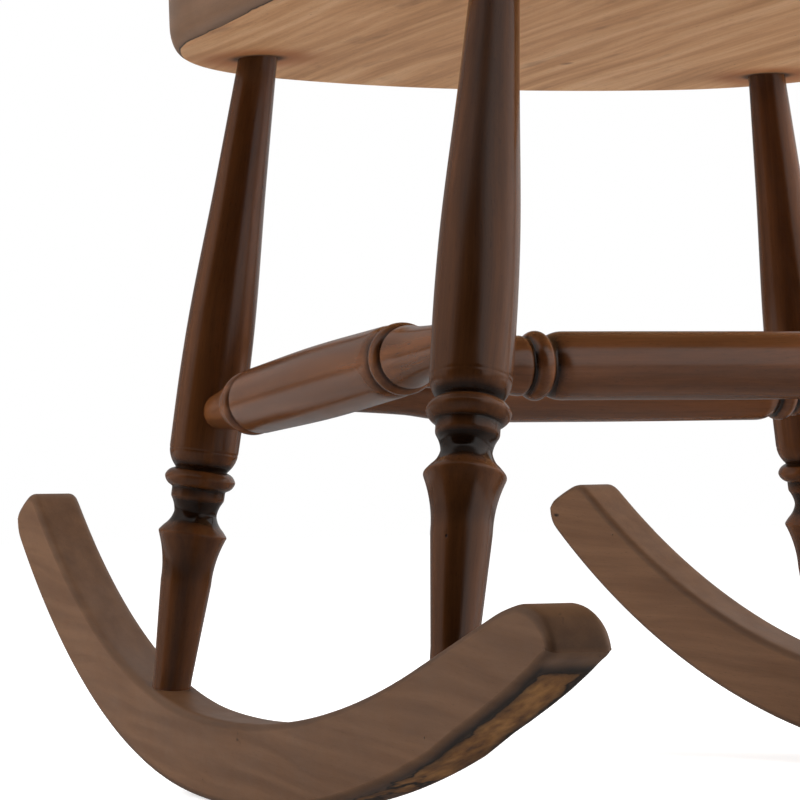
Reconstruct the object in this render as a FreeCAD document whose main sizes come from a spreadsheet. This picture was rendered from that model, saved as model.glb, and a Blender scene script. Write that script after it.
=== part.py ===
import FreeCAD, Part
import math
import os
import Sketcher

# Hoop back rocking chair, in millimetres.
# The chair faces -Y and stands at rest on its rockers. The origin is on the floor,
# midway along the rockers and midway between them.

SIZES = {
    # Rockers: two sawn and shaped rails, bent to a long arc in front and a tighter one behind
    "rocker_half_length": 434.5,
    "rocker_half_spacing": 217.8,
    "rocker_toe_angle": 5.09,
    "rocker_front_radius": 1150.0,
    "rocker_rear_radius": 660.0,
    "rocker_front_arc_angle": 17.7,
    "rocker_bearing_back": 62.5,
    "rocker_depth": 42.0,
    "rocker_width": 28.0,
    "rocker_high_rounding": 22.0,
    "rocker_low_rounding": 14.0,
    "rocker_edge_bevel": 2.0,
    # Rest: the whole chair rolls on its rockers until it balances
    "rest_roll_angle": 3.07,
    "rest_shift_forward": 55.05,
    # Seat: one solid board, tilted back, with a round-backed outline
    "seat_height": 397.1,
    "seat_tilt_angle": 5.35,
    "seat_thickness": 42.0,
    "seat_rear_reach": 228.5,
    "seat_rear_radius": 423.0,
    "seat_corner_radius": 131.0,
    "seat_rear_half_width": 220.5,
    "seat_side_flare_angle": 2.7,
    "seat_front_reach": 222.0,
    "seat_nose_radius": 62.0,
    "seat_top_rounding": 11.0,
    "seat_under_bevel_height": 14.0,
    "seat_under_bevel_width": 5.0,
    "seat_dish_radius": 520.0,
    "seat_dish_depth": 11.0,
    "seat_dish_half_spacing": 84.0,
    "seat_dish_forward": 42.0,
    # Legs: one turning pattern for all four
    "front_foot_forward": 288.7,
    "rear_foot_back": 143.6,
    "front_head_from_edge": 33.0,
    "rear_head_from_edge": 87.2,
    "front_head_inset": 45.6,
    "rear_head_inset": 63.3,
    "leg_foot_radius": 10.3,
    "leg_vase_radius": 13.6,
    "leg_vase_drop": 29.0,
    "leg_cove_radius": 62.0,
    "leg_lip_radius": 18.4,
    "leg_lip_height": 85.3,
    "leg_lip_land": 2.0,
    "leg_neck_radius": 11.4,
    "leg_neck_height": 97.4,
    "leg_neck_cove_radius": 13.0,
    "leg_collar_radius": 14.3,
    "leg_collar_low": 103.6,
    "leg_collar_high": 107.7,
    "leg_ring_radius": 19.0,
    "leg_ring_height": 113.7,
    "leg_ring_flank_radius": 7.6,
    "leg_groove_radius": 13.4,
    "leg_groove_height": 120.4,
    "leg_bulb_height": 129.7,
    "leg_bulb_radius": 18.5,
    "leg_bulb_rounding": 11.0,
    "leg_belly_radius": 18.7,
    "leg_belly_height": 160.0,
    "leg_shoulder_radius": 18.4,
    "leg_shoulder_height": 184.0,
    "leg_taper_radius": 13.6,
    "leg_taper_height": 273.7,
    "leg_head_radius": 10.6,
    "leg_head_straight": 6.0,
    "leg_head_tenon": 26.0,
    "leg_foot_tenon": 20.0,
    "leg_foot_tenon_radius": 7.0,
    "leg_foot_let_in": 5.0,
    "leg_foot_straight": 4.5,
    # Stretchers: a turned rail at each side, and two more across between the side rails
    "side_stretcher_height": 146.6,
    "side_rear_neck": 82.0,
    "side_front_neck": 95.0,
    "side_barrel_radius": 18.3,
    "side_barrel_end_radius": 17.2,
    "cross_rear_station": 118.0,
    "cross_front_station": 247.0,
    "cross_neck": 100.0,
    "cross_barrel_radius": 17.0,
    "cross_barrel_end_radius": 16.8,
    "stretcher_shoulder": 9.0,
    "stretcher_shoulder_rounding": 18.0,
    "stretcher_groove_radius": 14.4,
    "stretcher_ring_radius": 17.0,
    "stretcher_ring_reach": 5.0,
    "stretcher_ring_foot_reach": 10.0,
    "stretcher_ring_foot_radius": 13.8,
    "stretcher_bead_reach": 15.0,
    "stretcher_bead_radius": 14.6,
    "stretcher_end_radius": 9.8,
    "stretcher_end_rounding": 3.0,
    "stretcher_tenon_radius": 7.5,
    "stretcher_tenon": 14.0,
    # Hoop: one bent bar from side to side of the seat
    "hoop_bar_radius": 13.0,
    "hoop_foot_inset": 35.5,
    "hoop_foot_from_edge": 123.5,
    "hoop_rise": 590.0,
    "hoop_lean_angle": 17.0,
    "hoop_spread_angle": 6.0,
    "hoop_shoulder_radius": 150.0,
    "hoop_crown_radius": 300.0,
    "hoop_tenon": 20.0,
    # Back spindles
    "spindle_foot_spacing": 36.0,
    "spindle_head_spacing": 45.0,
    "spindle_edge_inset": 32.0,
    "spindle_foot_radius": 7.0,
    "spindle_belly_radius": 9.4,
    "spindle_head_radius": 5.5,
    "spindle_foot_tenon": 18.0,
    "spindle_foot_straight": 3.0,
    "spindle_head_stop": 3.0,
    # Arms, their turned posts and short spindles
    "arm_rise": 206.0,
    "arm_thickness": 22.0,
    "arm_hand_forward": 168.0,
    "arm_tail_behind_hoop": 26.7,
    "arm_tail_inside": 6.8,
    "arm_tail_outside": 29.2,
    "arm_waist_forward": 20.0,
    "arm_waist_outside": 34.2,
    "arm_hand_set_out": 2.2,
    "arm_hand_outside": 63.2,
    "arm_palm_forward": 106.0,
    "arm_sweep_radius": 210.0,
    "arm_edge_rounding": 6.0,
    "arm_tail_rounding": 9.0,
    "arm_notch_bevel": 1.6,
    "post_foot_forward": 92.0,
    "post_foot_inset": 17.5,
    "post_head_forward": 122.0,
    "post_head_outside": 29.2,
    "post_foot_radius": 9.0,
    "post_belly_radius": 16.0,
    "post_waist_radius": 10.0,
    "post_ring_radius": 14.5,
    "post_head_radius": 9.0,
    "post_foot_tenon": 16.0,
    "post_foot_straight": 3.0,
    "post_head_straight": 3.0,
    "post_head_tenon": 14.0,
    "baluster_foot_inset": 17.5,
    "baluster_head_outside": 16.2,
    "baluster_foot_start": 32.0,
    "baluster_head_start": 42.0,
    "baluster_foot_pitch": 52.0,
    "baluster_head_pitch": 66.0,
    "baluster_foot_radius": 6.5,
    "baluster_belly_radius": 9.0,
    "baluster_head_radius": 5.5,
    "baluster_foot_tenon": 15.0,
    "baluster_foot_straight": 3.0,
    "baluster_head_straight": 3.0,
    "baluster_head_tenon": 12.0,
    # Screws that hold the arms to the hoop, under wooden plugs
    "screw_head_radius": 4.0,
    "screw_shank_radius": 2.0,
    "screw_length": 24.0,
    "screw_head_length": 3.5,
    "plug_length": 4.0,
    "plug_inset": 1.0,
    "plug_radius": 5.0,
    # Fits
    "joint_clearance": 0.15,
    "bore_overrun": 30.0,
    "pick_tolerance": 1.0,
}

SPINDLE_COUNT = 9
BALUSTERS_PER_SIDE = 2
SPINDLE_BELLY_SHARE = 0.32
BALUSTER_BELLY_SHARE = 0.4
POST_SHARES = {"belly": 0.30, "waist": 0.56, "ring": 0.66, "neck": 0.76}
SIDES = (("right", -1), ("left", 1))

document = FreeCAD.newDocument("rocking_chair")
sheet = document.addObject("Spreadsheet::Sheet", "Sizes")
cells = {}


def put(alias, value):
    """Write one plain number to the sheet under an alias of its own and hand the alias back."""
    if alias not in cells:
        cells[alias] = "A%d" % (len(cells) + 1)
    sheet.set(cells[alias], repr(float(value)))
    sheet.setAlias(cells[alias], alias)
    return alias


for alias, value in SIZES.items():
    put(alias, value)
sheet.recompute()


def size(alias):
    """Read one named size."""
    return float(sheet.getContents(cells[alias]))


def terms(text):
    """Split a sum of named sizes, such as 'seat_thickness - seat_dish_depth', into signed names."""
    sign = "+"
    for word in text.split():
        if word in "+-":
            sign = word
        else:
            yield sign, word
            sign = "+"


def total(text):
    """Value of a sum of named sizes."""
    return sum(size(word) if sign == "+" else -size(word) for sign, word in terms(text))


def negated(text):
    """The same sum with every sign turned round."""
    return " ".join(("-" if sign == "+" else "+") + " " + word for sign, word in terms(text))


def bind(target, path, text):
    """Tie one property to a sum of named sizes in the sheet."""
    target.setExpression(path, " ".join(sign + " Sizes." + word for sign, word in terms(text)))


def vector(x, y, z):
    """Short name for a point or direction."""
    return FreeCAD.Vector(x, y, z)


def unit(direction):
    """Copy of a direction with a length of one."""
    return direction * (1 / direction.Length)


def origin_plane(body, role):
    """Find one of a body's own origin planes by its role."""
    for feature in body.Origin.OriginFeatures:
        if feature.Role == role:
            return feature
    raise RuntimeError("no plane " + role)


def new_body(label):
    """Start a sub-part with a label that names its file."""
    body = document.addObject("PartDesign::Body", label)
    body.Label = label
    return body


def new_sketch(body, plane_role, name):
    """Start a sketch on one of a body's own origin planes."""
    sketch = body.newObject("Sketcher::SketchObject", name)
    sketch.AttachmentSupport = (origin_plane(body, plane_role), [""])
    sketch.MapMode = "FlatFace"
    return sketch


def arc_crest(start, end, radius, turn):
    """Middle of the short arc from start to end; turn is +1 when it bends to the left."""
    chord = end.sub(start)
    half = chord.Length / 2
    rise = math.sqrt(radius * radius - half * half)
    left = unit(vector(-chord.y, chord.x, 0))
    return (start + end) * 0.5 + left * (turn * (rise - radius))


def end_number(sketch, geometry, point):
    """Say which end of a sketch edge lies on a point, since arcs always run anticlockwise."""
    first = sketch.getPoint(geometry, 1).distanceToPoint(point)
    second = sketch.getPoint(geometry, 2).distanceToPoint(point)
    return 1 if first < second else 2


def draw(sketch, stations, closed):
    """Draw lines and arcs through stations and tie every place and radius to the sheet.

    A station is (across, up) in sums of named sizes, with (radius, turn) behind them
    where an arc leads to it.
    """
    points = [vector(total(s[0]), total(s[1]), 0) for s in stations]
    first = 0 if closed else 1
    for index in range(first, len(stations)):
        start = points[index - 1]
        end = points[index]
        if len(stations[index]) == 2:
            sketch.addGeometry(Part.LineSegment(start, end), False)
        else:
            crest = arc_crest(start, end, total(stations[index][2]), stations[index][3])
            sketch.addGeometry(Part.Arc(start, crest, end), False)
    edges = range(len(stations) - first)
    ends = [end_number(sketch, edge, points[edge + first]) for edge in edges]
    rules = []
    names = []

    def rule(text, *arguments):
        rules.append(Sketcher.Constraint(*arguments))
        names.append(text)

    for edge in edges:
        if closed or edge > 0:
            rule("", "Coincident", edge - 1 if edge else len(ends) - 1, ends[edge - 1], edge, 3 - ends[edge])
    spots = [(edge, ends[edge], edge + first) for edge in edges]
    if not closed:
        spots.append((0, 3 - ends[0], 0))
    for edge, which, index in spots:
        for kind, value, text, axis in (("DistanceX", points[index].x, stations[index][0], -2),
                                        ("DistanceY", points[index].y, stations[index][1], -1)):
            if abs(value) < size("zero_tolerance"):
                rule("", "PointOnObject", edge, which, axis)
            else:
                rule(text, kind, -1, 1, edge, which, value)
    for edge in edges:
        station = stations[edge + first]
        if len(station) > 2:
            rule(station[2], "Radius", edge, total(station[2]))
    sketch.addConstraint(rules)
    for number, text in enumerate(names):
        if text:
            bind(sketch, "Constraints[%d]" % number, text)


def turned(label, stations, lift):
    """Turn a piece on the lathe: stations are (radius, height), and lift goes on to each height."""
    body = new_body(label)
    raised = [(s[0], s[1] + " " + lift) + tuple(s[2:]) for s in stations]
    outline = [("", raised[0][1])] + raised + [("", raised[-1][1])]
    sketch = new_sketch(body, "XZ_Plane", label + "_outline")
    draw(sketch, outline, True)
    turning = body.newObject("PartDesign::Revolution", label + "_turning")
    turning.Profile = sketch
    turning.ReferenceAxis = (sketch, ["V_Axis"])
    turning.Angle = 360.0
    return body


def pad_outline(body, plane_role, label, stations, thickness):
    """Cut a board's outline to its thickness, upwards from its plane."""
    sketch = new_sketch(body, plane_role, label + "_outline")
    draw(sketch, stations, True)
    pad = body.newObject("PartDesign::Pad", label + "_board")
    pad.Profile = sketch
    bind(pad, "Length", thickness)
    return pad


def dress(body, kind, name, base, choose, amounts):
    """Round or bevel the edges of a feature that a rule picks."""
    document.recompute()
    picked = ["Edge%d" % (i + 1) for i, edge in enumerate(base.Shape.Edges) if choose(edge)]
    feature = body.newObject("PartDesign::" + kind, name)
    feature.Base = (base, picked)
    if len(amounts) > 1:
        feature.ChamferType = "Two distances"
    for path, text in amounts:
        bind(feature, path, text)
    return feature


def middle(edge):
    """Middle point of an edge."""
    return edge.valueAt((edge.FirstParameter + edge.LastParameter) / 2)


def level(edge):
    """Tell whether an edge lies level in its body's frame."""
    return edge.BoundBox.ZLength < size("pick_tolerance")


def aim(direction):
    """Rotation that carries +Z to a direction."""
    return FreeCAD.Rotation(vector(0, 0, 1), direction)


def stand(body, start, direction):
    """Stand a turned piece with its base at start and its axis along a direction."""
    body.Placement = FreeCAD.Placement(start, aim(direction))


def bore(body, name, start, direction, radius, length):
    """Cut a round bore from start along a direction, both given in the chair's frame."""
    inverse = body.Placement.inverse()
    hole = body.newObject("PartDesign::SubtractiveCylinder", name)
    bind(hole, "Radius", radius)
    bind(hole, "Height", length)
    turn = aim(inverse.Rotation.multVec(direction))
    hole.Placement = FreeCAD.Placement(inverse.multVec(start), turn)
    return hole


def drill(body, name, surface, inward, radius, reach):
    """Drill a blind socket with clearance all round, from a point on the surface inwards."""
    direction = unit(inward)
    deep_end = surface + direction * (total(reach) + size("joint_clearance"))
    bore(body, name, deep_end, direction * -1, radius + " + joint_clearance",
         reach + " + joint_clearance + bore_overrun")


def mirrored(point, side):
    """Give a point for one side of the chair: -1 is the sitter's right, at -X."""
    return vector(point.x * side, point.y, point.z)


def along(start, end, distance):
    """Point at a distance from start towards end."""
    return start + unit(end.sub(start)) * distance


put("zero_tolerance", SIZES["pick_tolerance"] / 1e6)

# Legs, hoop, posts and short spindles keep their distance from the seat's edges
lean = math.radians(size("hoop_lean_angle"))
spread = math.radians(size("hoop_spread_angle"))
SEAT_PLACES = {
    "front_head_forward": "seat_front_reach - front_head_from_edge",
    "rear_head_back": "seat_rear_reach - rear_head_from_edge",
    "front_head_half_spacing": "seat_rear_half_width - front_head_inset",
    "rear_head_half_spacing": "seat_rear_half_width - rear_head_inset",
    "hoop_foot_half_spacing": "seat_rear_half_width - hoop_foot_inset",
    "hoop_foot_back": "seat_rear_reach - hoop_foot_from_edge",
    "post_foot_half_spacing": "seat_rear_half_width - post_foot_inset",
    "baluster_foot_half_spacing": "seat_rear_half_width - baluster_foot_inset",
}
for alias, text in SEAT_PLACES.items():
    put(alias, total(text))

# Arms are set out from where the hoop's sides pass through them
put("arm_half_thickness", size("arm_thickness") / 2)
arm_up = total("arm_rise + arm_half_thickness") / math.cos(lean)
put("arm_line", size("hoop_foot_half_spacing") + arm_up * math.tan(spread))
put("arm_crossing_back", size("hoop_foot_back") + arm_up * math.sin(lean))
ARM_PLACES = {
    "arm_tail_back": "arm_crossing_back + arm_tail_behind_hoop",
    "arm_tail_inner": "arm_line - arm_tail_inside",
    "arm_tail_outer": "arm_line + arm_tail_outside",
    "arm_waist_outer": "arm_line + arm_waist_outside",
    "arm_hand_inner": "arm_line + arm_hand_set_out",
    "arm_hand_outer": "arm_line + arm_hand_outside",
    "post_head_half_spacing": "arm_line + post_head_outside",
    "baluster_head_half_spacing": "arm_line + baluster_head_outside",
}
for alias, text in ARM_PLACES.items():
    put(alias, total(text))
sheet.recompute()

# Rest: the chair rolls forward over the front arc's centre and moves to stay on its origin
roll = FreeCAD.Rotation(vector(1, 0, 0), size("rest_roll_angle"))
arc_centre = vector(0, size("rocker_bearing_back"), size("rocker_front_radius"))
rest = FreeCAD.Placement(
    arc_centre - roll.multVec(arc_centre) - vector(0, size("rest_shift_forward"), 0), roll)

# Seat frame: its origin is on the underside above the chair's origin, with y back along the board
seat_placement = rest.multiply(FreeCAD.Placement(
    vector(0, 0, size("seat_height")),
    FreeCAD.Rotation(vector(1, 0, 0), -size("seat_tilt_angle"))))


def on_seat(x, y, z):
    """Carry a point from the seat's frame to the chair's frame."""
    return seat_placement.multVec(vector(x, y, z))


# Rocker frame: y runs along the rail, turned out by the toe angle
bearing = size("rocker_bearing_back")
front_radius = size("rocker_front_radius")
rear_radius = size("rocker_rear_radius")
front_arc = math.radians(size("rocker_front_arc_angle"))
toe = math.radians(size("rocker_toe_angle"))


def rocker_placement(side):
    """Place of one rocker: it stands upright and toes out in front."""
    return rest.multiply(FreeCAD.Placement(
        vector(side * size("rocker_half_spacing"), 0, 0),
        FreeCAD.Rotation(vector(0, 0, 1), side * size("rocker_toe_angle"))))


def rail_height(place, rise):
    """Height of a curve inside the rail, a given rise above its underside, at a place along it."""
    offset = place - bearing
    if offset >= 0:
        return rear_radius - math.sqrt((rear_radius - rise) ** 2 - offset ** 2)
    radius = front_radius - rise
    run = radius * math.sin(front_arc)
    if -offset <= run:
        return front_radius - math.sqrt(radius ** 2 - offset ** 2)
    return front_radius - radius * math.cos(front_arc) + (-offset - run) * math.tan(front_arc)


half_length = size("rocker_half_length")
rail_depth = size("rocker_depth")
put("rocker_tail_low", rail_height(half_length, 0))
put("rocker_tail_high", rail_height(half_length, rail_depth))
put("rocker_nose_low", rail_height(-half_length, 0))
put("rocker_nose_high", rail_height(-half_length, rail_depth))
put("rocker_low_run", bearing - front_radius * math.sin(front_arc))
put("rocker_high_run", bearing - (front_radius - rail_depth) * math.sin(front_arc))
put("rocker_low_run_height", rail_height(size("rocker_low_run"), 0))
put("rocker_high_run_height", rail_height(size("rocker_high_run"), rail_depth))
sheet.recompute()

ROCKER_OUTLINE = [
    ("rocker_bearing_back", "", "rocker_front_radius", 1),
    ("rocker_half_length", "rocker_tail_low", "rocker_rear_radius", 1),
    ("rocker_half_length", "rocker_tail_high"),
    ("rocker_bearing_back", "rocker_depth", "rocker_rear_radius - rocker_depth", -1),
    ("rocker_high_run", "rocker_high_run_height", "rocker_front_radius - rocker_depth", -1),
    ("- rocker_half_length", "rocker_nose_high"),
    ("- rocker_half_length", "rocker_nose_low"),
    ("rocker_low_run", "rocker_low_run_height"),
]


def build_rocker(label, side):
    """Saw the rail's curve, then round its ends and bevel its long edges."""
    body = new_body(label)
    rail = pad_outline(body, "YZ_Plane", label, ROCKER_OUTLINE, "rocker_width")
    rail.Midplane = True

    def across(edge):
        return edge.BoundBox.XLength > size("rocker_width") / 2

    def tip_edge(height, sign):
        def choose(edge):
            spot = vector(0, sign * half_length, total(height))
            place = middle(edge)
            return across(edge) and vector(0, place.y, place.z).distanceToPoint(spot) < size("pick_tolerance")
        return choose

    feature = rail
    for which in ("high", "low"):
        tail = tip_edge("rocker_tail_" + which, 1)
        nose = tip_edge("rocker_nose_" + which, -1)
        feature = dress(body, "Fillet", "%s_%s_rounding" % (label, which), feature,
                        lambda edge: tail(edge) or nose(edge), [("Radius", "rocker_%s_rounding" % which)])
    dress(body, "Chamfer", label + "_bevel", feature,
          lambda edge: not across(edge), [("Size", "rocker_edge_bevel")])
    body.Placement = rocker_placement(side)
    return body


# Seat outline: a rear arc, two corner arcs, flared sides and a front edge with round corners
rear_centre = size("seat_rear_reach") - size("seat_rear_radius")
corner_gap = size("seat_rear_radius") - size("seat_corner_radius")
corner_across = size("seat_rear_half_width") - size("seat_corner_radius")
corner_back = rear_centre + math.sqrt(corner_gap ** 2 - corner_across ** 2)
flare = math.radians(size("seat_side_flare_angle"))
rear_share = size("seat_rear_radius") / corner_gap
nose = size("seat_nose_radius")
nose_back = nose - size("seat_front_reach")
put("seat_join_across", corner_across * rear_share)
put("seat_join_back", rear_centre + (corner_back - rear_centre) * rear_share)
put("seat_side_rear_across", corner_across + size("seat_corner_radius") * math.cos(flare))
put("seat_side_rear_back", corner_back - size("seat_corner_radius") * math.sin(flare))
put("seat_nose_across", size("seat_side_rear_across") - nose / math.cos(flare)
    + (size("seat_side_rear_back") - nose_back) * math.tan(flare))
put("seat_side_front_across", size("seat_nose_across") + nose * math.cos(flare))
put("seat_side_front_back", nose_back - nose * math.sin(flare))
sheet.recompute()

SEAT_OUTLINE = [
    ("- seat_join_across", "seat_join_back", "seat_rear_radius", 1),
    ("- seat_side_rear_across", "seat_side_rear_back", "seat_corner_radius", 1),
    ("- seat_side_front_across", "seat_side_front_back"),
    ("- seat_nose_across", "- seat_front_reach", "seat_nose_radius", 1),
    ("seat_nose_across", "- seat_front_reach"),
    ("seat_side_front_across", "seat_side_front_back", "seat_nose_radius", 1),
    ("seat_side_rear_across", "seat_side_rear_back"),
    ("seat_join_across", "seat_join_back", "seat_corner_radius", 1),
]


def build_seat():
    """Board with a rounded upper edge, a bevelled lower edge and a saddled top."""
    body = new_body("seat")
    board = pad_outline(body, "XY_Plane", "seat", SEAT_OUTLINE, "seat_thickness")
    thickness = size("seat_thickness")
    bevel = dress(body, "Chamfer", "seat_under_bevel", board,
                  lambda edge: level(edge) and middle(edge).z < thickness / 2,
                  [("Size", "seat_under_bevel_height"), ("Size2", "seat_under_bevel_width")])
    dress(body, "Fillet", "seat_top_rounding", bevel,
          lambda edge: level(edge) and middle(edge).z > thickness - size("pick_tolerance"),
          [("Radius", "seat_top_rounding")])
    for name, side in SIDES:
        dish = body.newObject("PartDesign::SubtractiveSphere", "seat_dish_" + name)
        bind(dish, "Radius", "seat_dish_radius")
        dish.Placement = FreeCAD.Placement(vector(
            side * size("seat_dish_half_spacing"), -size("seat_dish_forward"),
            total("seat_thickness + seat_dish_radius - seat_dish_depth")), FreeCAD.Rotation())
    body.Placement = seat_placement
    return body


ARM_OUTLINE = [
    ("arm_tail_inner", "arm_tail_back"),
    ("arm_hand_inner", "- arm_palm_forward"),
    ("arm_hand_inner", "arm_tip_radius - arm_hand_forward"),
    ("arm_hand_inner + arm_tip_radius", "- arm_hand_forward", "arm_tip_radius", 1),
    ("arm_hand_outer", "arm_tip_radius - arm_hand_forward", "arm_tip_radius", 1),
    ("arm_hand_outer", "- arm_palm_forward"),
    ("arm_waist_outer", "- arm_waist_forward", "arm_sweep_radius", -1),
    ("arm_tail_outer", "arm_tail_back"),
]
put("arm_tip_radius", (size("arm_hand_outer") - size("arm_hand_inner")) / 2)
put("arm_notch_reach", total("arm_thickness + bore_overrun"))
put("arm_notch_radius", total("hoop_bar_radius + joint_clearance") / math.cos(lean))
put("arm_notch_easing", size("arm_notch_bevel") * 2)
sheet.recompute()


def arm_outline(side):
    """Outline of an arm seen from above, turned over for the sitter's right."""
    if side > 0:
        return ARM_OUTLINE
    count = len(ARM_OUTLINE)
    turned_over = []
    for index in range(count):
        own = ARM_OUTLINE[count - 1 - index]
        arc = ARM_OUTLINE[(count - index) % count]
        turned_over.append((negated(own[0]), own[1]) + tuple(arc[2:]))
    return turned_over


def build_arm(label, side):
    """Sawn arm with a broad hand rest, softened edges and an eased notch for the hoop."""
    body = new_body(label)
    board = pad_outline(body, "XY_Plane", label, arm_outline(side), "arm_thickness")
    tail = size("arm_tail_back") - size("pick_tolerance")
    corners = dress(body, "Fillet", label + "_tail_rounding", board,
                    lambda edge: not level(edge) and middle(edge).y > tail,
                    [("Radius", "arm_tail_rounding")])
    dress(body, "Fillet", label + "_edge_rounding", corners, level, [("Radius", "arm_edge_rounding")])
    base = vector(0, 0, total("seat_thickness + arm_rise"))
    body.Placement = seat_placement.multiply(FreeCAD.Placement(base, FreeCAD.Rotation()))
    hoop_side = mirrored(left_hoop_side, side)
    climb = unit(hoop_side - mirrored(left_hoop_foot, side))
    bore(body, label + "_notch", hoop_side - climb * size("arm_notch_reach"), climb,
         "hoop_bar_radius + joint_clearance", "arm_notch_reach + arm_notch_reach")
    inverse = body.Placement.inverse()
    crossing = inverse.multVec(hoop_side)
    slope = inverse.Rotation.multVec(climb)
    slope = slope * (1 / slope.z)
    for face, turn in (("lower", -1), ("upper", 1)):
        rim = crossing + slope * (turn * size("arm_half_thickness"))
        easing = body.newObject("PartDesign::SubtractiveCone", "%s_%s_notch_bevel" % (label, face))
        bind(easing, "Radius1", "arm_notch_radius - arm_notch_easing")
        bind(easing, "Radius2", "arm_notch_radius + arm_notch_easing")
        bind(easing, "Height", "arm_notch_easing + arm_notch_easing")
        depth = vector(0, 0, turn * total("arm_notch_easing + arm_notch_bevel"))
        easing.Placement = FreeCAD.Placement(rim - depth, aim(vector(0, 0, turn)))
    return body


# Hoop frame: x across and y up the plane that leans back from the seat's top
shoulder_radius = size("hoop_shoulder_radius")
crown_radius = size("hoop_crown_radius")
crown_up = size("hoop_rise") / math.cos(lean) - crown_radius
side_across = size("hoop_foot_half_spacing") - shoulder_radius * math.cos(spread)
side_up = shoulder_radius * math.sin(spread) - crown_up
half_sum = side_across * math.sin(spread) + side_up * math.cos(spread)
remainder = side_across ** 2 + side_up ** 2 - (crown_radius - shoulder_radius) ** 2
side_length = math.sqrt(half_sum ** 2 - remainder) - half_sum
shoulder_across = side_across + side_length * math.sin(spread)
shoulder_up = shoulder_radius * math.sin(spread) + side_length * math.cos(spread)
crown_share = crown_radius / (crown_radius - shoulder_radius)
put("hoop_side_top_across", size("hoop_foot_half_spacing") + side_length * math.sin(spread))
put("hoop_side_top_up", side_length * math.cos(spread))
put("hoop_join_across", shoulder_across * crown_share)
put("hoop_join_up", crown_up + (shoulder_up - crown_up) * crown_share)
put("hoop_end_across", size("hoop_foot_half_spacing") - size("hoop_tenon") * math.sin(spread))
put("hoop_end_down", size("hoop_tenon") * math.cos(spread))
sheet.recompute()

HOOP_PATH = [
    ("hoop_end_across", "- hoop_end_down"),
    ("hoop_side_top_across", "hoop_side_top_up"),
    ("hoop_join_across", "hoop_join_up", "hoop_shoulder_radius", 1),
    ("- hoop_join_across", "hoop_join_up", "hoop_crown_radius", 1),
    ("- hoop_side_top_across", "hoop_side_top_up", "hoop_shoulder_radius", 1),
    ("- hoop_end_across", "- hoop_end_down"),
]


def in_hoop(across, up):
    """Carry a point from the hoop's leaning plane to the chair's frame."""
    return on_seat(across, size("hoop_foot_back") + up * math.sin(lean),
                   size("seat_thickness") + up * math.cos(lean))


def hoop_up(across):
    """Height of the hoop's axis in its plane above a place across the chair."""
    if abs(across) <= size("hoop_join_across"):
        return crown_up + math.sqrt(crown_radius ** 2 - across ** 2)
    return shoulder_up + math.sqrt(shoulder_radius ** 2 - (abs(across) - shoulder_across) ** 2)


def build_hoop():
    """Bend one round bar up from the seat, over two shoulders and a crown, and down again."""
    body = new_body("hoop")
    path = new_sketch(body, "XY_Plane", "hoop_path")
    draw(path, HOOP_PATH, False)
    section = body.newObject("Sketcher::SketchObject", "hoop_section")
    section.addGeometry(Part.Circle(vector(0, 0, 0), vector(0, 0, 1), size("hoop_bar_radius")), False)
    section.addConstraint([
        Sketcher.Constraint("Coincident", 0, 3, -1, 1),
        Sketcher.Constraint("Radius", 0, size("hoop_bar_radius")),
    ])
    bind(section, "Constraints[1]", "hoop_bar_radius")
    foot = vector(size("hoop_end_across"), -size("hoop_end_down"), 0)
    heading = vector(math.sin(spread), math.cos(spread), 0)
    section.Placement = FreeCAD.Placement(foot, aim(heading))
    bar = body.newObject("PartDesign::AdditivePipe", "hoop_bar")
    bar.Profile = section
    bar.Spine = (path, [])
    rise = FreeCAD.Rotation(vector(1, 0, 0), math.degrees(math.pi / 2 - lean))
    base = vector(0, size("hoop_foot_back"), size("seat_thickness"))
    body.Placement = seat_placement.multiply(FreeCAD.Placement(base, rise))
    return body


def leg_points(end):
    """Foot on the left rocker's top and head on the seat's underside, for a left leg."""
    if end == "front":
        place = -size("front_foot_forward") / math.cos(toe)
        head = on_seat(size("front_head_half_spacing"), -size("front_head_forward"), 0)
    else:
        place = size("rear_foot_back") / math.cos(toe)
        head = on_seat(size("rear_head_half_spacing"), size("rear_head_back"), 0)
    foot = rocker_placement(1).multVec(vector(0, place, rail_height(place, rail_depth)))
    return foot, head


LEG_FOOT = [
    ("leg_foot_tenon_radius", "- leg_foot_tenon"),
    ("leg_foot_tenon_radius", "- leg_foot_let_in"),
    ("leg_foot_radius", "- leg_foot_let_in"),
    ("leg_foot_radius", "leg_foot_straight"),
    ("leg_vase_radius", "leg_lip_height - leg_vase_drop"),
    ("leg_lip_radius", "leg_lip_height - leg_lip_land", "leg_cove_radius", -1),
    ("leg_lip_radius", "leg_lip_height"),
    ("leg_neck_radius", "leg_neck_height", "leg_neck_cove_radius", -1),
    ("leg_collar_radius", "leg_collar_low"),
    ("leg_collar_radius", "leg_collar_high"),
    ("leg_ring_radius", "leg_ring_height", "leg_ring_flank_radius", 1),
    ("leg_groove_radius", "leg_groove_height", "leg_ring_flank_radius", 1),
    ("leg_bulb_radius", "leg_bulb_height", "leg_bulb_rounding", 1),
    ("leg_belly_radius", "leg_belly_height"),
    ("leg_shoulder_radius", "leg_shoulder_height"),
    ("leg_taper_radius", "leg_taper_height"),
]


def build_leg(label, foot, head):
    """One leg: vase foot, lip, neck, collar, ring and a long taper to the seat."""
    reach = put(label + "_reach", head.sub(foot).Length)
    sheet.recompute()
    stations = LEG_FOOT + [
        ("leg_head_radius", reach + " - leg_head_straight"),
        ("leg_head_radius", reach + " + leg_head_tenon"),
    ]
    body = turned(label, stations, "+ leg_foot_tenon")
    axis = unit(head.sub(foot))
    stand(body, foot - axis * size("leg_foot_tenon"), axis)
    return body


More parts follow.
